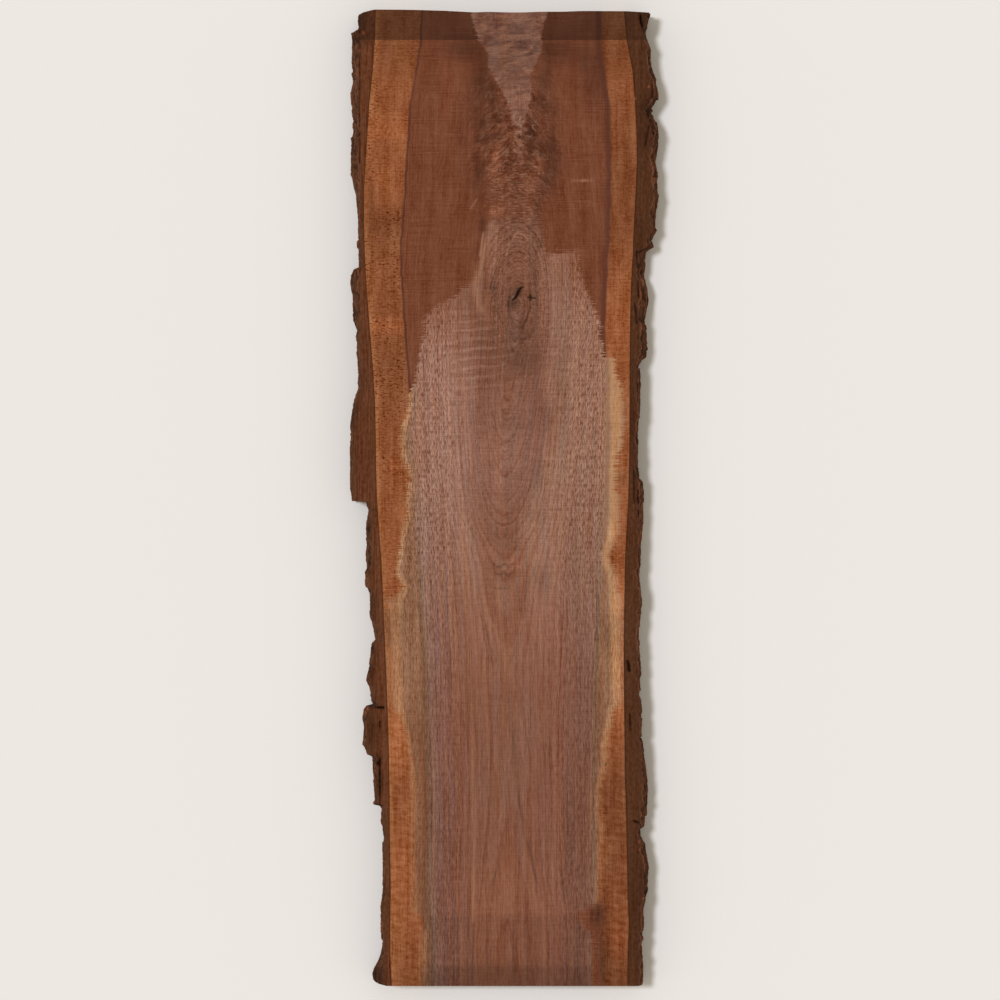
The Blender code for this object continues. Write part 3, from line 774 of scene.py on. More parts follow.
def dry_colour(offset, station, sap_left, sap_right):
    """Colour of the dry wood before grain: heartwood, olive sapwood and its pale rim."""
    foot = along(FOOT_TONE, station)
    heart = dry_heart(offset, station, sap_left, sap_right)
    olive = blend(smooth_step(station, 420.0, 260.0), (142, 101, 77), (121, 77, 53))
    in_sap = smooth_step(np.maximum(sap_left, sap_right), -3.0, 1.0)
    colour = blend(in_sap, heart, toned(olive, foot))
    rim = np.maximum(along(RIM_LEFT, station) - offset, offset - along(RIM_RIGHT, station))
    olive_band = smooth_step(rim, -11.0, -7.0) * along(((0, 0.2), (500, 0.4), (640, 1.0)), station)
    colour = blend(0.6 * olive_band, colour, (148, 112, 92))
    fade = np.where(offset < 0.0, 3.0, 3.0 + 6.0 * smooth_step(station, 600.0, 680.0))
    pale = blend(smooth_step(rim, fade, fade + 13.0), (176, 132, 98), (150, 101, 72))
    cream = along_side(CREAM_LEFT, CREAM_RIGHT, offset, station)
    pale = toned(blend(cream, (146, 94, 63), pale), foot)
    return blend(smooth_step(rim, -2.5, 2.0), colour, pale)


def wet_colour(offset, station, sap):
    """Colour of the damp wood before grain."""
    red = smooth_step(smooth_noise(offset / 45.0, station / 120.0, 11), -0.6, 0.8)
    heart = blend(0.5 * red, (111, 63, 41), (118, 67, 45))
    lower = smooth_step(station, 420.0, 200.0) * (offset > 0.0)
    sapwood = blend(lower, (139, 80, 47), (122, 69, 40))
    glow = smooth_step(smooth_noise(offset / 16.0, station / 55.0, 12), -0.2, 0.9)
    sapwood = blend(0.45 * glow, sapwood, (154, 95, 57))
    sapwood = toned(sapwood, along_side(SAP_TONE_LEFT, SAP_TONE_RIGHT, offset, station))
    edge = np.maximum(
        smooth_step(wood_edge(LEFT, station, THICKNESS) - offset, -9.0, -1.0),
        0.12 * smooth_step(offset - wood_edge(RIGHT, station, THICKNESS), -7.0, -1.0),
    )
    sapwood = blend(0.55 * edge, sapwood, (158, 100, 60))
    return blend(smooth_step(sap, -1.0, 1.5), heart, sapwood)


def paint_wood(piece):
    """Stores on each vertex of the wood what its material draws the figure from."""
    offset, station, height = mesh_points(piece.data).T
    face = smooth_step(height, THICKNESS - FACE_FADE, THICKNESS - FACE_LAYER)
    sap_left = along(HEART_LEFT, station) - offset
    sap_right = offset - along(HEART_RIGHT, station)
    sap = np.maximum(sap_left, sap_right)
    damp = np.minimum(
        outside_distance(offset, station, DRY_FIELD),
        outside_distance(offset, station, DRY_TONGUE),
    )
    store(piece, "ring", ring_radius(offset, station, height))
    store(piece, "fibre", fibre_offset(offset, station))
    damp = np.clip(damp, -DAMP_REACH, DAMP_REACH)
    store(piece, "damp", np.where(face > 0.5, damp, -DAMP_REACH))
    store(piece, "sap", sap)
    store(piece, "flank", smooth_step(np.abs(across_share(offset, station)), 0.3, 0.8))
    store(piece, "mark", face * mark_strength(offset, station))
    store(piece, "feather", face * np.exp(-oval(offset, station, *FEATHER) ** 1.5))
    store(piece, "curl", face * np.exp(-oval(offset, station, *CURL)))
    patches = face * patch_tone(PATCHES, offset, station)
    dry_patches = patches * (1.0 - 0.85 * smooth_step(station, 1075.0, 1115.0))
    dry = dry_colour(offset, station, sap_left, sap_right)
    store_colour(piece, "dry_colour", toned(dry, np.exp(dry_patches)))
    store_colour(piece, "wet_colour", toned(wet_colour(offset, station, sap), np.exp(patches)))


def dense_steps(count, density):
    """Shares from 0 to 1 that lie closer together where the density is higher."""
    fine = np.linspace(0.0, 1.0, SPACING_SAMPLES)
    total = np.concatenate([[0.0], np.cumsum(along(density, fine[:-1]))])
    return np.interp(np.linspace(0.0, 1.0, count), total / total[-1], fine)


def face_grid():
    """Shares across the board and stations of its face's mesh, closest round the knot."""
    across = ((0.0, 1.0), (0.36, 1.0), (0.4, 2.2), (0.66, 2.2), (0.7, 1.0), (1.0, 1.0))
    low, high = (end[1] / LENGTH for end in CRACK_ENDS)
    lengthways = (
        (0.0, 1.0), (0.62, 1.0), (0.64, 1.6), (low - 0.012, 1.6), (low - 0.004, 3.0),
        (high + 0.004, 3.0), (high + 0.012, 1.6), (0.92, 1.6), (0.94, 1.0), (1.0, 1.0),
    )
    shares = dense_steps(FACE_COLUMNS, across)
    return np.meshgrid(shares, dense_steps(FACE_ROWS, lengthways) * LENGTH)


def board_points(share, station, height):
    """Points of the board from their share across it, as rows in metres."""
    height = np.full(np.shape(share), height)
    left = wood_edge(LEFT, station, height)
    right = wood_edge(RIGHT, station, height)
    return place(left + share * (right - left), station, height)


def border_of(rows, columns):
    """Vertex numbers round the border of a grid, against the clock seen from above."""
    index = np.arange(rows * columns).reshape(rows, columns)
    return np.concatenate([index[0, :-1], index[:-1, -1], index[-1, :0:-1], index[:0:-1, 0]])


def band_faces(upper, lower):
    """Faces between two closed rows of as many vertices."""
    corners = (upper, lower, np.roll(lower, -1), np.roll(upper, -1))
    return np.stack(corners, axis=1).tolist()


def stitch_faces(upper, lower):
    """Triangles between a closed row and one with a whole share of its vertices."""
    ratio = len(upper) // len(lower)
    follow = np.roll(lower, -1)
    turn = ratio // 2
    triangles = [(upper[turn::ratio], lower, follow)]
    for step in range(ratio):
        near = lower if step < turn else follow
        after = np.roll(upper, -step - 1)[::ratio]
        triangles.append((upper[step::ratio], near, after))
    return [face for corners in triangles for face in np.stack(corners, axis=1).tolist()]


def crack_depth(points):
    """Depth of the knot's open crack under points of the face: a bent slit that tapers."""
    offset = points[:, 0] / MM
    station = points[:, 1] / MM - FOOT
    start, end = np.array(CRACK_ENDS)
    run = end - start
    share = ((offset - start[0]) * run[0] + (station - start[1]) * run[1]) / (run @ run)
    inside = np.clip(share, 0.0, 1.0)
    bend = CRACK_BEND * np.sin(math.tau * inside)
    across = ((offset - start[0]) * run[1] - (station - start[1]) * run[0]) / np.hypot(*run)
    away = np.hypot(across - bend, (share - inside) * np.hypot(*run))
    half_width = CRACK_HALF_WIDTH * (0.45 + 0.55 * np.sin(math.pi * inside))
    return CRACK_DEPTH * (1.0 - smooth_step(away / half_width, 0.35, 1.0))


def build_wood(material):
    """The board: a fine show face, edges and cut ends, and a coarser back, as one closed mesh."""
    share, station = face_grid()
    face = board_points(share, station, THICKNESS)
    face[:, 2] -= crack_depth(face) * MM
    upper = border_of(FACE_ROWS, FACE_COLUMNS)
    ring = (share.ravel()[upper], station.ravel()[upper])
    points = [face]
    faces = grid_faces(np.arange(share.size).reshape(share.shape))
    # Closed rows of corners run round the sides, one below the other.
    start = share.size
    for height in SIDE_HEIGHTS:
        points.append(board_points(*ring, height))
        lower = start + np.arange(len(upper))
        faces += band_faces(upper, lower)
        start += len(lower)
        upper = lower
    # The back is coarser than the face, and is stitched to the lowest row.
    back_share = share[::BACK_STEP, ::BACK_STEP]
    points.append(board_points(back_share, station[::BACK_STEP, ::BACK_STEP], 0.0))
    back = start + np.arange(back_share.size).reshape(back_share.shape)
    faces += grid_faces(back[:, ::-1])
    faces += stitch_faces(upper, back.ravel()[border_of(*back.shape)])
    points = np.concatenate(points)
    paint_wood(new_piece("slab_wood", points, faces, "wood", material))


# Bark.


def bark_cracks(side, offset, station):
    """Depth of the bark's cracks and pits under points of its top."""
    depth = np.zeros(np.shape(offset))
    for start, end, half_width, deepest in BARK_CRACKS[side]:
        away = segment_distance(offset, station, start, end)
        wander = 0.5 * half_width * smooth_noise(station / 4.0, offset / 4.0, 51)
        depth = np.maximum(depth, deepest * np.exp(-((away + wander) / half_width) ** 2))
    return depth


def bark_relief(side, station, height):
    """How far the outer bark's plates, flakes and cracks lie inward, and its ridges: 0 in cracks."""
    seed = 70 if side == LEFT else 90
    sway = 5.0 * smooth_noise(station / 60.0, height / 30.0, seed)
    climbing = station + PLATE_CLIMB * height
    border, own = plates(climbing / PLATE_LENGTH, (height + sway) / PLATE_HEIGHT, seed + 1)
    level = height + 0.4 * sway
    small, small_own = plates(station / FLAKE_LENGTH, level / FLAKE_HEIGHT, seed + 2)
    crack = 1.0 - smooth_step(border, 0.02, 0.3)
    flake_crack = 1.0 - smooth_step(small, 0.02, 0.35)
    grit = rough_noise(station / 5.0, height / 1.8, seed + 3)
    depth = 1.7 * crack + 1.2 * own + 0.6 * flake_crack + 0.7 * small_own + 0.5 * grit
    ridge = np.clip(1.0 - 0.9 * crack - 0.35 * flake_crack - 0.25 * own, 0.0, 1.0)
    return depth, ridge


def bark_steps(side, rows):
    """How far flakes and chips shift the bark's edge outward at each row, with abrupt ends."""
    random = np.random.default_rng(61 if side == LEFT else 62)
    breaks = np.cumsum(random.uniform(*STEP_LENGTHS, STEP_COUNT))
    shifts = random.uniform(-STEP_REACH, STEP_REACH, STEP_COUNT + 1)
    shift = shifts[np.searchsorted(breaks, rows)]
    for first, last, change in BARK_CHIPS[side]:
        shift += change * smooth_step(rows, first - 0.7, first + 0.7) * (rows < last)
    return shift


def bark_rows(known):
    """Stations of the bark's fine rows: every station of the solid, and steps between them."""
    rows = [known[:1]]
    for start, end in zip(known[:-1], known[1:]):
        steps = max(1, math.ceil((end - start) / BARK_ROW))
        rows.append(start + (end - start) * np.arange(1, steps + 1) / steps)
    return np.concatenate(rows)


def outer_bark(side, outlines, rows):
    """Outer surface of the bark: offsets, heights and ridges, from the top down, row by row."""
    heights = THICKNESS * (1.0 - np.linspace(0.0, 1.0, OUTER_COLUMNS))
    height, station = np.meshgrid(heights, rows)
    solid = side * edge_offset(outlines, BARK_LEVELS, station, height)
    relief, ridge = bark_relief(side, station, height)
    reach = solid.max(axis=1, keepdims=True)
    # The furthest point of each row lies BARK_SPREAD past the solid, but for steps and a tremble.
    inward = reach - solid + relief
    inward -= inward.min(axis=1, keepdims=True)
    inward += 0.35 * smooth_noise(rows / 2.3, rows / 9.0, 31)[:, None] - BARK_SPREAD[side]
    inward -= bark_steps(side, rows)[:, None]
    skin = side * wood_edge(side, station, height) + THINNEST_BARK
    # The rim of the sawn top has crumbled off in places.
    height[:, 0] -= np.clip(0.8 + rough_noise(rows / 5.0, rows / 50.0, 34), 0.0, 1.6)
    return side * np.clip(reach - inward, skin, BARK_LIMIT), height, ridge


def outer_points(node, side):
    """The corners of a strip of bark that lie on its outer side."""
    points = NODE_POINTS[node]
    inner = side * wood_edge(side, points[:, 1], points[:, 2])
    return points[side * points[:, 0] > inner + BARK_SKIN]


def sawn_bark(side, column, rim_offset):
    """Sawn top of the bark: offsets, heights, depths of its cracks, and how near its rim it is."""
    start = wood_edge(side, column, THICKNESS) + side * BARK_GAP
    share = np.linspace(0.0, 1.0, TOP_COLUMNS, endpoint=False)
    offset = start + share * (rim_offset - start)
    station = np.broadcast_to(column, offset.shape)
    sunk = bark_cracks(side, offset, station)
    rim = smooth_step(side * (rim_offset - offset), 5.0, 0.0)
    crumble = rim * np.clip(1.4 * rough_noise(station / 7.0, offset / 3.0, 33) + 0.4, 0.0, 2.0)
    return offset, THICKNESS - sunk - crumble, sunk, rim


def bark_flecks(offset, station):
    """1 in the flecks of fresh bark and 0 elsewhere."""
    fleck = np.zeros(offset.shape)
    for middle, level, radius in BARK_FLECKS:
        away = np.hypot(offset - middle, (station - level) / 1.4)
        fleck = np.maximum(fleck, smooth_step(away, radius, 0.4 * radius))
    return fleck


def build_bark(name, node, side, material):
    """One strip of bark: sawn flat on top, flaked and furrowed outside."""
    outlines = edge_outlines(outer_points(node, side), side, BARK_LEVELS)
    rows = bark_rows(outlines[0][0])
    column = rows[:, None]
    outer, outer_height, ridge = outer_bark(side, outlines, rows)
    top, top_height, sunk, rim = sawn_bark(side, column, outer[:, :1])
    inner_height = THICKNESS * np.linspace(0.0, 1.0, INNER_COLUMNS, endpoint=False)
    inner_height = np.tile(inner_height, (len(rows), 1))
    inner = wood_edge(side, column, inner_height) + side * BARK_GAP
    under_share = np.linspace(0.0, 1.0, UNDER_COLUMNS + 2)[1:-1]
    under = outer[:, -1:] + under_share * (inner[:, :1] - outer[:, -1:])
    # Each section goes up the inner side, out over the top, down the outer side and back below.
    offset = np.hstack([inner, top, outer, under])
    height = np.hstack([inner_height, top_height, outer_height, np.zeros(under.shape)])
    station = np.broadcast_to(column, offset.shape)
    index = np.arange(offset.size).reshape(offset.shape)
    faces = grid_faces(np.hstack([index, index[:, :1]])) + [index[0].tolist(), index[-1].tolist()]
    piece = new_piece(name, place(offset, station, height), faces, node, material)
    sawn = np.zeros(offset.shape)
    sawn[:, INNER_COLUMNS:][:, :TOP_COLUMNS] = 1.0 - 0.8 * smooth_step(rim, 0.5, 1.0)
    # ridge is 1 on ridges and lower in cracks and furrows; the material paints shade from it.
    ridges = np.full(offset.shape, 0.5)
    ridges[:, INNER_COLUMNS:-UNDER_COLUMNS] = np.hstack([1.0 - sunk / 4.0, ridge])
    store(piece, "sawn", sawn)
    store(piece, "ridge", ridges)
    store(piece, "inside", (side * outer).max(axis=1)[:, None] - side * offset)
    store(piece, "from_wood", np.abs(offset - top[:, :1]))
    store(piece, "tone", np.exp(patch_tone(BARK_PATCHES, offset, station)))
    store(piece, "fleck", bark_flecks(offset, station))


# Materials.


class Value:
    """A number or colour that a material works out at every point of the surface."""

    def __init__(self, nodes, socket):
        self.nodes = nodes
        self.socket = socket

    def __add__(self, other):
        return self.nodes.maths("ADD", self, other)

    def __mul__(self, other):
        return self.nodes.maths("MULTIPLY", self, other)

    def __sub__(self, other):
        return self.nodes.maths("SUBTRACT", self, other)

    def __rsub__(self, other):
        return self.nodes.maths("SUBTRACT", other, self)

    def __truediv__(self, size):
        return self * (1.0 / size)

    def __abs__(self):
        return self.nodes.maths("ABSOLUTE", self)

    __radd__ = __add__
    __rmul__ = __mul__

    def step(self, start, end, low=0.0, high=1.0):
        """Low up to start and high from end on, with a smooth passage between them."""
        settings = {"interpolation_type": "SMOOTHSTEP", "clamp": True}
        ends = {"From Min": start, "From Max": end, "To Min": low, "To Max": high}
        return self.nodes.value("MapRange", settings, Value=self, **ends)

    def between(self, low, high):
        """Low where this is 0 and high where it is 1."""
        return self.step(0.0, 1.0, low, high)

    def swing(self, reach, margin=0.2):
        """A noise as a change of tone: from minus reach to plus reach."""
        return self.step(margin, 1.0 - margin, -reach, reach)

    def mixed(self, share, other):
        """This colour, passing into another as share goes from 0 to 1."""
        return self.nodes.mix(share, self, other)

    def tinted(self, other):
        """This colour times another."""
        return self.nodes.mix(1.0, self, other, "MULTIPLY")

    def darkened(self, factor):
        """This colour times a factor that varies over the surface."""
        return self.tinted(self.nodes.point(factor, factor, factor))

    def shaded(self, factor):
        """Lighter or darker by as much in every channel as seen, so that dark marks look redder."""
        nodes = self.nodes
        seen = nodes.value("Gamma", Color=self, Gamma=1.0 / DISPLAY_GAMMA)
        grey = nodes.value("RGBToBW", Color=seen)
        kept = nodes.maths("MAXIMUM", factor, DARKEST_FACTOR)
        amount = grey * (nodes.maths("POWER", kept, 1.0 / DISPLAY_GAMMA) - 1.0)
        shaded = nodes.mix(1.0, seen, nodes.point(amount, amount, amount), "ADD")
        shaded = nodes.mix(1.0, shaded, DARKEST_SEEN, "LIGHTEN")
        return nodes.value("Gamma", Color=shaded, Gamma=DISPLAY_GAMMA)


class Nodes:
    """The nodes of one material. Colours are written as 0 to 255 per channel, sizes in mm."""

    def __init__(self, name):
        self.material = bpy.data.materials.new(name)
        self.material.use_nodes = True
        self.tree = self.material.node_tree
        self.shader = self.tree.nodes["Principled BSDF"]

    def add(self, kind, settings=None, **inputs):
        """A new node, with its settings made and its inputs joined."""
        node = self.tree.nodes.new("ShaderNode" + kind)
        for name, value in (settings or {}).items():
            setattr(node, name, value)
        for name, value in inputs.items():
            self.join(value, node.inputs[name])
        return node

    def value(self, kind, settings=None, **inputs):
        """What the first output of a new node gives."""
        return Value(self, self.add(kind, settings, **inputs).outputs[0])

    def join(self, value, socket):
        """Links a worked-out value to a socket, or sets a plain number or colour on it."""
        if isinstance(value, Value):
            self.tree.links.new(value.socket, socket)
        elif isinstance(value, tuple):
            socket.default_value = (*linear(value), 1.0)
        else:
            socket.default_value = value

    def stored(self, name, output="Fac"):
        """What the mesh keeps for each vertex under a name."""
        return Value(self, self.add("Attribute", {"attribute_name": name}).outputs[output])

    def maths(self, operation, *values):
        """A number worked out from one or two others."""
        node = self.add("Math", {"operation": operation})
        for value, socket in zip(values, node.inputs):
            self.join(value, socket)
        return Value(self, node.outputs[0])

    def mix(self, share, first, second, blend="MIX"):
        """A number or colour between two, or two colours combined as blend says."""
        node = self.add("Mix", {"data_type": "RGBA", "blend_type": blend})
        for value, number in ((share, 0), (first, 6), (second, 7)):
            self.join(value, node.inputs[number])
        return Value(self, node.outputs[2])

    def point(self, x, y, z):
        """A point, or a colour, from three numbers."""
        return self.value("CombineXYZ", X=x, Y=y, Z=z)

    def parts(self, vector):
        """The three numbers of a vector."""
        return [Value(self, output) for output in self.add("SeparateXYZ", Vector=vector).outputs]

    def place_in_mm(self):
        """The point on the object in millimetres, as three numbers."""
        where = Value(self, self.add("TexCoord").outputs["Object"])
        scale = {"operation": "SCALE"}
        return self.parts(self.value("VectorMath", scale, Vector=where, Scale=1.0 / MM))

    def noise(self, across, width, lengthways, length, third, detail=0.0, roughness=0.5, twist=0.0):
        """Noise from 0 to 1 with spots of a width and a length, for a seed or through a depth."""
        point = self.point(across / width, lengthways / length, third)
        shape = {"Detail": detail, "Roughness": roughness, "Distortion": twist}
        return self.value("TexNoise", Vector=point, Scale=1.0, **shape)

    def surface(self, colour, roughness, shine):
        """Joins the colour, roughness and shine to the shader."""
        inputs = self.shader.inputs
        self.join(colour, inputs["Base Color"])
        self.join(roughness, inputs["Roughness"])
        self.join(shine, inputs["Specular IOR Level"])

    def bump(self, relief, strength, depth):
        """Joins a fine relief, whose depth is in metres, to the shader."""
        bumps = self.value("Bump", Strength=strength, Distance=depth, Height=relief)
        self.join(bumps, self.shader.inputs["Normal"])


def bent_rings(nodes, ring, fibre, y):
    """Ring radius with the sway and the small ripples of grown wood."""
    sway = nodes.noise(fibre, 55, y, 190, 3, 1)
    ripple = nodes.noise(fibre, 6, y, 30, 5, 1)
    return ring + (sway * 9.0 + ripple * 2.6)


def ring_lines(nodes, bent):
    """Growth rings: 0 in the light wood, rising to 1 at each ring's dark end."""
    uneven = nodes.noise(bent, 11, 0, 1, 8)
    phase = nodes.maths("FRACT", bent / RING_WIDTH + uneven * 1.8)
    late = phase.step(0.45, 0.92) * phase.step(1.0, 0.95)
    each = nodes.noise(bent, RING_WIDTH, 0, 1, 21)
    return late * each.step(0.3, 0.65, 0.3, 1.0)


def thin_lines(nodes, bent, fibre, y):
    """Fine light and dark lines within the rings, from -1 to 1, broken along the fibres."""
    drift = nodes.noise(bent, 4, y, 70, 12)
    wave = nodes.maths("SINE", bent * (math.tau / THIN_LINE_SPACING) + drift * 9.0)
    broken = nodes.noise(fibre, 3, y, 24, 13, 1)
    return wave * broken.step(0.3, 0.7)


def dampness(nodes, x, y, in_sap):
    """0 in the dry wood and 1 in the damp wood, with a combed border that is soft in places."""
    comb = nodes.noise(x, 26, y, 1.4, 1, 1)
    lobes = nodes.noise(x, 11, y, 6, 2, 1)
    lowest = y.step(-250.0, -330.0)
    reach = lowest.between(1.0, 0.55) * y.step(425.0, 450.0, 1.0, 0.4)
    jagged = comb * 24.0 + lobes * 6.0
    level = nodes.stored("damp") + (jagged - 15.0) * reach
    neck = y.step(315.0, 340.0) * y.step(400.0, 370.0)
    soft = in_sap.between(0.9, 3.2) + neck * 6.0 + lowest * 2.5
    return level.step(soft * -1.0, soft)


class WoodFigure:
    """The places and the noises that the dry and the damp wood are both coloured from."""

    def __init__(self, nodes):
        x, y, z = nodes.place_in_mm()
        fibre = nodes.stored("fibre")
        sap = nodes.stored("sap")
        flank = nodes.stored("flank")
        bent = bent_rings(nodes, nodes.stored("ring"), fibre, y)
        self.x, self.y, self.z = x, y, z
        self.fibre = fibre
        self.sap = sap
        self.flank = flank
        self.in_sap = sap.step(-1.0, 1.0)
        self.in_flank = flank.step(0.0, 1.0)
        self.rings = ring_lines(nodes, bent)
        self.thin = thin_lines(nodes, bent, fibre, y)
        self.fine = nodes.noise(fibre, 1.7, y, 85, z / 1.7, 2)
        self.short = nodes.noise(fibre, 1.3, y, 9, z / 1.3, 1)
        self.saw = nodes.noise(x, 40, y, 1.8, 4, 2)
        self.speckle = nodes.noise(x, 2.6, y, 2, z / 2.6, 1)
        self.coarse = y.step(-190.0, 10.0)
        self.in_rim, self.pores = self.rim_and_pores(nodes)
        self.grain = self.mean_grain(nodes, bent)

    def rim_and_pores(self, nodes):
        """Where the right rim is, and the pores: short dark dashes along the fibres."""
        dashed = self.y.step(-210.0, -10.0)
        in_rim = self.sap.step(-5.0, 0.0) * (dashed * self.x.step(*ACROSS_MIDDLE))
        pores = nodes.noise(self.fibre, 0.85, self.y, 6, self.z / 0.85).step(0.5, 0.62)
        pores = pores * (dashed * 0.75 + self.in_flank * 0.4)
        tongue = self.y.step(*TONGUE_BODY)
        return in_rim, pores * (1.0 - tongue * 0.9) * (1.0 - in_rim * 0.75)

    def mean_grain(self, nodes, bent):
        """Change of tone by the grain, smoother above and more streaked below."""
        x, y, z, fibre = self.x, self.y, self.z, self.fibre
        broad = nodes.noise(fibre, 6.5, y, 230, z / 6.5, 1)
        groups = nodes.noise(bent, 10, y, 500, 18, 1)
        drift = fibre + nodes.noise(x, 16, y, 60, 29, 1).swing(1.8)
        lines = nodes.noise(drift, 1.25, y, 60, 24, 1)
        short = self.short.swing(0.15)
        upper = self.fine.swing(0.16) + broad.swing(0.09) + short + groups.swing(0.09, 0.25)
        lower = self.fine.swing(0.12) + broad.swing(0.13) + lines.swing(0.18) + short
        lower = lower + self.speckle.swing(0.07) + groups.swing(0.06, 0.25)
        grain = nodes.mix(self.coarse, lower, upper)
        return grain * (1.0 - y.step(*TONGUE_BODY) * 0.75)


def dry_wood(nodes, wood):
    """Colour of the dry wood."""
    x, y = wood.x, wood.y
    ring_dark = wood.rings * wood.in_sap.between(0.18, 0.04)
    pore_dark = wood.pores * wood.flank.between(0.08, 0.18)
    tone = 1.08 + wood.grain - (ring_dark + pore_dark)
    tone = tone + wood.saw.swing(0.13) * wood.coarse.between(0.7, 1.0)
    edge_grain = wood.short.swing(0.15) * wood.in_flank
    tone = tone + (edge_grain + (wood.grain + edge_grain) * (wood.in_rim * -0.6))
    middle_grain = wood.speckle.swing(0.13) * (wood.coarse * wood.flank.step(0.6, 0.1))
    tone = tone + middle_grain
    by_knot = abs(x - 16.0).step(44.0, 30.0) * (y.step(170.0, 200.0) * y.step(345.0, 325.0))
    arcs = wood.thin * 0.12 + wood.rings * -0.16
    tone = tone + (arcs + middle_grain) * by_knot
    tone = tone + wood.thin * wood.in_sap.between(0.08, 0.02)
    dry = tongue_waves(nodes, nodes.stored("dry_colour", "Color").shaded(tone), x, y)
    tint = nodes.noise(wood.fibre, 3.2, y, 160, 22, 1)
    dry = dry.tinted(nodes.mix(tint.step(0.3, 0.7), (246, 252, 255), (255, 247, 232)))
    dry = dry.mixed(wood.rings * wood.in_sap.between(0.3, 0.1), dry.tinted((246, 208, 200)))
    return dry.mixed(wood.pores * wood.flank.between(0.3, 0.75), dry.tinted((215, 195, 187)))


def damp_wood(nodes, wood):
    """Colour of the damp wood, with saw marks, blotches and flecks of the sapwood."""
    x, y, in_sap = wood.x, wood.y, wood.in_sap
    sawn_patch = nodes.noise(x, 50, y, 32, 27, 1).step(0.35, 0.65, 0.3, 1.3)
    low_sap = y.step(-150.0, -300.0) * in_sap
    saw = wood.saw.swing(0.19) * sawn_patch * low_sap.between(1.0, 0.35)
    blotch = nodes.noise(x, 13, y, 48, 23, 2).swing(1.0)
    stroke = nodes.noise(x, 7, y, 1.5, 25, 1).swing(0.17)
    flame = nodes.noise(x, 12, y + x * 0.15, 5.5, 26, 3).swing(0.27, 0.25)
    speck = wood.speckle.swing(0.22) * in_sap.between(0.5, 1.0)
    speck = speck + blotch * in_sap.between(0.17, 0.24)
    speck = (speck + stroke * in_sap) * low_sap.between(1.0, 0.4)
    speck = speck + flame * low_sap + sap_flecks(nodes, wood.sap, x, y)
    lines = wood.rings * -0.06 + wood.thin * 0.03
    damp = nodes.stored("wet_colour", "Color").shaded(0.99 + wood.grain + (saw + speck) + lines)
    damp = heart_line(nodes, damp, wood.sap, x, y)
    top_band = (y + wood.saw * 0.8).step(571.4, 572.4)
    return damp.mixed(top_band * 0.55, (30, 16, 6))


def walnut_material():
    """Rough-sawn walnut, damp round a dry middle."""
    nodes = Nodes("sawn_walnut")
    wood = WoodFigure(nodes)
    x, y = wood.x, wood.y
    wetness = dampness(nodes, x, y, wood.in_sap)
    colour = dry_wood(nodes, wood).mixed(wetness, damp_wood(nodes, wood))
    clear = (1.0 - wetness) * y.step(*TONGUE_TIP)
    colour = feather_figure(nodes, colour, x, y, clear)
    colour = curl_figure(nodes, colour, x, y)
    mark = nodes.stored("mark")
    # Dark marks: dark lines of the figure and the knot, and painted shade inside the knot's open
    # crack.
    colour = colour.mixed(mark.between(0.0, 0.96), (42, 28, 17))
    strand = mark.step(0.0, -1.0, 0.0, 0.9) * wood.fine.step(0.3, 0.6, 0.4, 1.3)
    colour = colour.mixed(strand, (196, 148, 120))
    colour = end_grain(nodes, colour, wood)
    nodes.surface(colour, wetness.between(0.85, 0.65), 0.06)
    nodes.bump(wood.saw * 0.6 + wood.fine * 0.5 - wood.pores * 0.6, 0.5, 0.0002)
    return nodes.material


def heart_line(nodes, colour, sap, x, y):
    """The dark edge of the damp heartwood: a thin line on the left, a band on the right."""
    wander = nodes.noise(0, 1, y, 22, 14, 2)
    broken = nodes.noise(3, 1, y, 60, 15, 1)
    place = sap + wander.swing(1.3)
    thin = place.step(-3.4, -2.0) * place.step(0.4, -0.8)
    wide = place.step(-11.0, -4.0) * place.step(0.3, -2.2)
    right = x.step(*ACROSS_MIDDLE)
    left_line = thin * broken.step(0.3, 0.6, 0.35, 0.8) * (1.0 - right)
    line = (left_line + wide * 0.62 * right) * y.step(-330.0, -230.0)
    return colour.mixed(line, (76, 41, 31))


def sap_flecks(nodes, sap, x, y):
    """Dark flecks across the damp sapwood on the left."""
    spot = nodes.noise(x, 4.5, y, 1.9, 19, 1)
    patch = nodes.noise(x, 30, y, 55, 20)
    dense = y.step(372.0, 352.0) * y.step(-20.0, 60.0) * x.step(-90.0, -110.0)
    rind = x.step(-156.0, -160.0) * y.step(372.0, 400.0, 0.0, 0.9)
    dense = (dense + rind) * sap.step(0.0, 3.0) * patch.step(0.35, 0.6, 0.3, 1.0)
    return spot.step(0.5, 0.68, 0.14, -0.62) * dense


def tongue_waves(nodes, colour, x, y):
    """Waves across the dry tongue at the top, from purplish grey to orange brown."""
    tilted = y + x * WAVE_TILT
    wave = nodes.noise(x, 26, tilted, 7, 16, 3, 0.55, 1.2)
    soft = nodes.noise(x, 9, tilted, 2.2, 17, 1)
    shade = nodes.mix(wave.step(0.34, 0.66), (212, 208, 212), (255, 246, 236))
    in_tongue = y.step(*TONGUE_TIP) * y.step(530.0, 575.0, 0.7, 1.0)
    tone = wave.step(0.3, 0.7, 0.88, 1.12) + soft.swing(0.12, 0.25)
    return colour.mixed(in_tongue, colour.tinted(shade).shaded(tone))


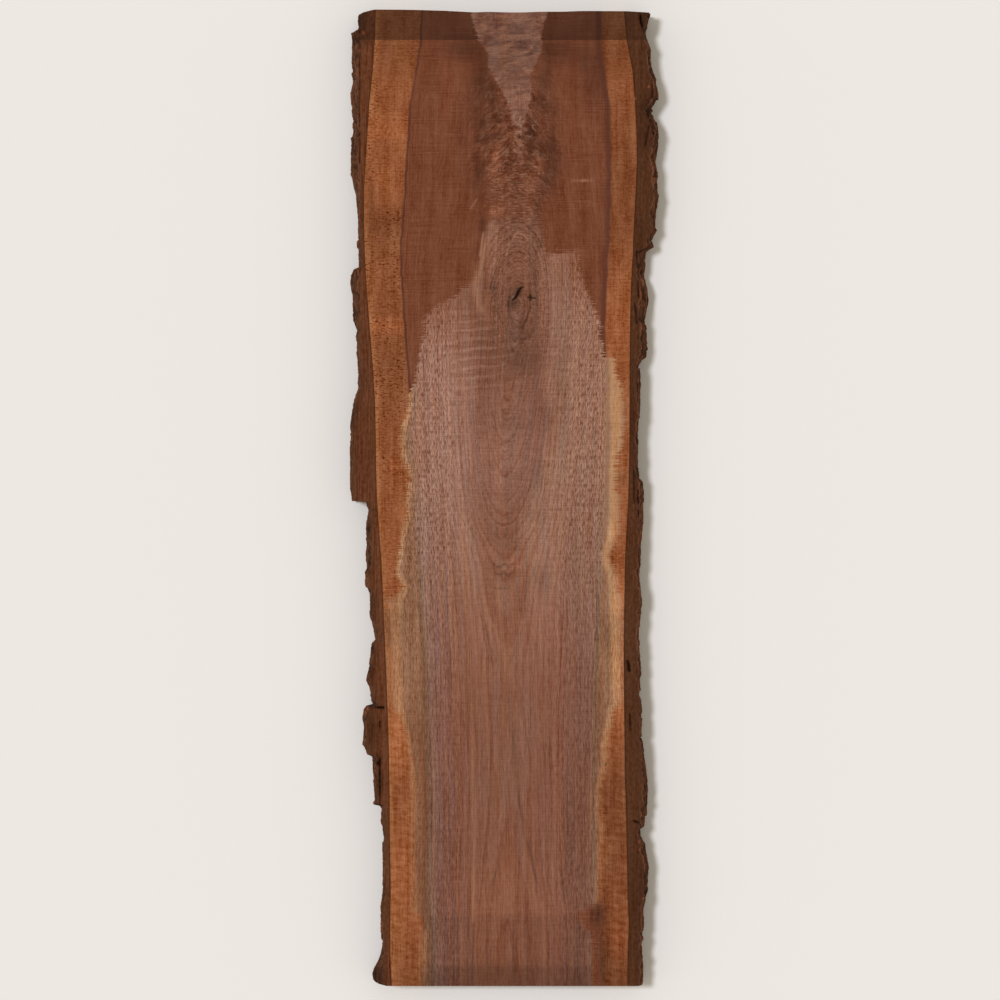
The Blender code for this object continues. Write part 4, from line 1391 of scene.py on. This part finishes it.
def feather_figure(nodes, colour, x, y, clear):
    """Crotch figure above the knot: mottled, curling fibres, crossed by fine light threads."""
    feather = nodes.stored("feather") * clear.between(1.0, 0.12)
    run = x - 14.0
    spread = nodes.maths("SQRT", run * run + 90.0)
    sway = nodes.noise(x, 22, y, 26, 5, 1)
    fanned = y + (spread * 0.55 + sway * 16.0)
    tuft = nodes.noise(x, 10, fanned, 7, 6, 3, 0.62, 1.4)
    lock = nodes.noise(x, 6, fanned, 2.4, 7, 2, 0.6, 0.9)
    clump = nodes.noise(x, 13, fanned, 11, 28, 1)
    thread = nodes.noise(x, 9, y, 1.5, 8, 1)
    low = y.step(445.0, 400.0) * y.step(305.0, 325.0) * abs(x - 12.0).step(40.0, 26.0)
    colour = colour.mixed(feather * 0.15, (92, 58, 42))
    colour = colour.mixed(tuft.step(0.5, 0.34) * feather * 0.8, (62, 34, 22))
    colour = colour.mixed(tuft.step(0.53, 0.7) * feather * 0.62, (136, 98, 80))
    colour = colour.mixed(thread.step(0.52, 0.66) * low * 0.42, (158, 114, 90))
    web = (lock.swing(0.28, 0.25) + clump.swing(0.34, 0.25)) * feather
    return colour.shaded(1.0 + web)


def curl_figure(nodes, colour, x, y):
    """Light ripples across the grain beside the knot."""
    wander = nodes.noise(x, 26, y, 24, 17)
    rise = y + x * WAVE_TILT + wander * 6.0
    wave = nodes.maths("SINE", rise * (math.tau / RIPPLE_SPACING))
    ripple = wave.step(0.1, 1.0, -0.3, 1.0) * nodes.stored("curl") * 0.3
    return colour.shaded(1.0 + ripple)


def end_grain(nodes, colour, wood):
    """Cut ends: darker, with the rings as arcs and the pores as dots."""
    facing = Value(nodes, nodes.add("NewGeometry").outputs["Normal"])
    at_end = abs(nodes.parts(facing)[1]).step(0.6, 0.8)
    dots = nodes.noise(wood.x, 0.9, wood.z, 0.9, 9)
    tone = 1.0 - wood.rings * 0.4 - dots.step(0.6, 0.7, 0.0, 0.3)
    cut = nodes.mix(wood.in_sap, (96, 62, 44), (140, 96, 64))
    return colour.mixed(at_end, cut.darkened(tone))


def sawn_bark_colour(nodes, x, y, z, streak):
    """Colour of the bark's sawn top: streaked, darker in patches at its rim and beside the wood."""
    inside = nodes.stored("inside")
    band = nodes.noise(x, 4.5, y, 120, 2, 1)
    mottle = nodes.noise(x, 3.2, y, 6, z / 3.2, 3, 0.6)
    rim_patches = nodes.noise(x, 3, y, 8, 4, 2, 0.6)
    side = x.step(*ACROSS_MIDDLE)
    inner_cut = nodes.mix(side, (98, 56, 34), (80, 47, 28))
    outer_cut = nodes.mix(side, (86, 51, 32), (75, 44, 28))
    colour = inner_cut.mixed(inside.step(16.0, 4.0), outer_cut)
    tone = nodes.mix(side, streak.swing(0.34), streak.swing(0.16))
    tone = tone + band.step(0.25, 0.75, 0.87, 1.13) + mottle.swing(0.28, 0.25)
    colour = colour.shaded(tone)
    # This only darkens patches along the outer rim of the sawn top.
    colour = colour.mixed(rim_patches.step(0.44, 0.58) * inside.step(5.5, 1.0) * 0.62, (48, 31, 21))
    return colour.mixed(nodes.stored("from_wood").step(2.6, 0.4, 0.0, 0.45), (58, 34, 22))


def outer_bark_colour(nodes, x, y, z, grit, ridge):
    """Colour of the outer bark: blotched plates, painted shade in the furrows between them."""
    blotch = nodes.noise(x, 6, y, 14, z / 6, 3)
    plate = nodes.mix(blotch.step(0.35, 0.65), (112, 70, 48), (84, 53, 37))
    # Where ridge falls to 0, in furrows and sunken plates, the colour goes dark: painted shade.
    colour = nodes.mix(ridge.step(0.0, 0.8), (62, 39, 27), plate)
    return colour.shaded(grit.step(0.2, 0.8, 0.65, 1.35))


def bark_material():
    """Bark: sawn smooth brown, grey-brown plates outside, painted shade in furrows and cracks."""
    nodes = Nodes("bark")
    x, y, z = nodes.place_in_mm()
    ridge = nodes.stored("ridge")
    streak = nodes.noise(x, 1.5, y, 38, 1, 2)
    grit = nodes.noise(x, 1.1, y, 2.2, z / 1.1, 2)
    sawn = sawn_bark_colour(nodes, x, y, z, streak)
    # The cracks and pits of the sawn top are painted darker the deeper they are: painted shade.
    sawn = sawn.darkened(ridge.step(0.0, 0.8, 0.25, 1.0))
    colour = outer_bark_colour(nodes, x, y, z, grit, ridge).mixed(nodes.stored("sawn"), sawn)
    colour = colour.darkened(nodes.stored("tone"))
    colour = colour.mixed(nodes.stored("fleck"), (136, 72, 48))
    colour = colour.mixed(y.step(571.0, 572.5) * 0.4, (36, 20, 12))
    nodes.surface(colour, 0.9, 0.06)
    nodes.bump(grit * 0.7 + streak * 0.3, 0.6, 0.0004)
    return nodes.material


# Studio.


def studio_floor():
    """A plain pale floor."""
    nodes = Nodes("studio_floor")
    nodes.surface((233, 229, 225), 0.9, 0.0)
    half = 8.0
    level = -0.0004
    sides = ((-half, -half), (half, -half), (half, half), (-half, half))
    mesh = bpy.data.meshes.new("studio_floor")
    mesh.from_pydata([(x, y, level) for x, y in sides], [], [(0, 1, 2, 3)])
    mesh.materials.append(nodes.material)
    floor = link("studio_floor", mesh)


def studio_light():
    """Soft light from the upper left, and an even pale surround."""
    sun = bpy.data.lights.new("key_light", "SUN")
    sun.energy = 1.6
    sun.angle = math.radians(9.0)
    sun.color = (1.0, 1.05, 1.145)
    link("key_light", sun).rotation_euler = (math.radians(-6.0), math.radians(-19.0), 0.0)
    world = bpy.data.worlds.new("studio")
    world.use_nodes = True
    surround = world.node_tree.nodes["Background"]
    surround.inputs["Color"].default_value = (1.0, 0.935, 0.805, 1.0)
    surround.inputs["Strength"].default_value = 0.565
    bpy.context.scene.world = world
    bpy.context.scene.view_settings.view_transform = "Standard"


def camera_over_face():
    """Looks straight down on the show face."""
    distance = 7.0
    frame_width = 1.2485
    lens_view = bpy.data.cameras.new("camera")
    lens_view.sensor_width = 36.0
    lens_view.lens = lens_view.sensor_width * distance / frame_width
    lens_view.dof.use_dof = False
    camera = link("camera", lens_view)
    camera.location = (-0.0056, -0.0028, THICKNESS * MM + distance)
    bpy.context.scene.camera = camera


camera_over_face()
studio_light()
studio_floor()
build_wood(walnut_material())
bark = bark_material()
build_bark("slab_bark_left", "bark_left", LEFT, bark)
build_bark("slab_bark_right", "bark_right", RIGHT, bark)
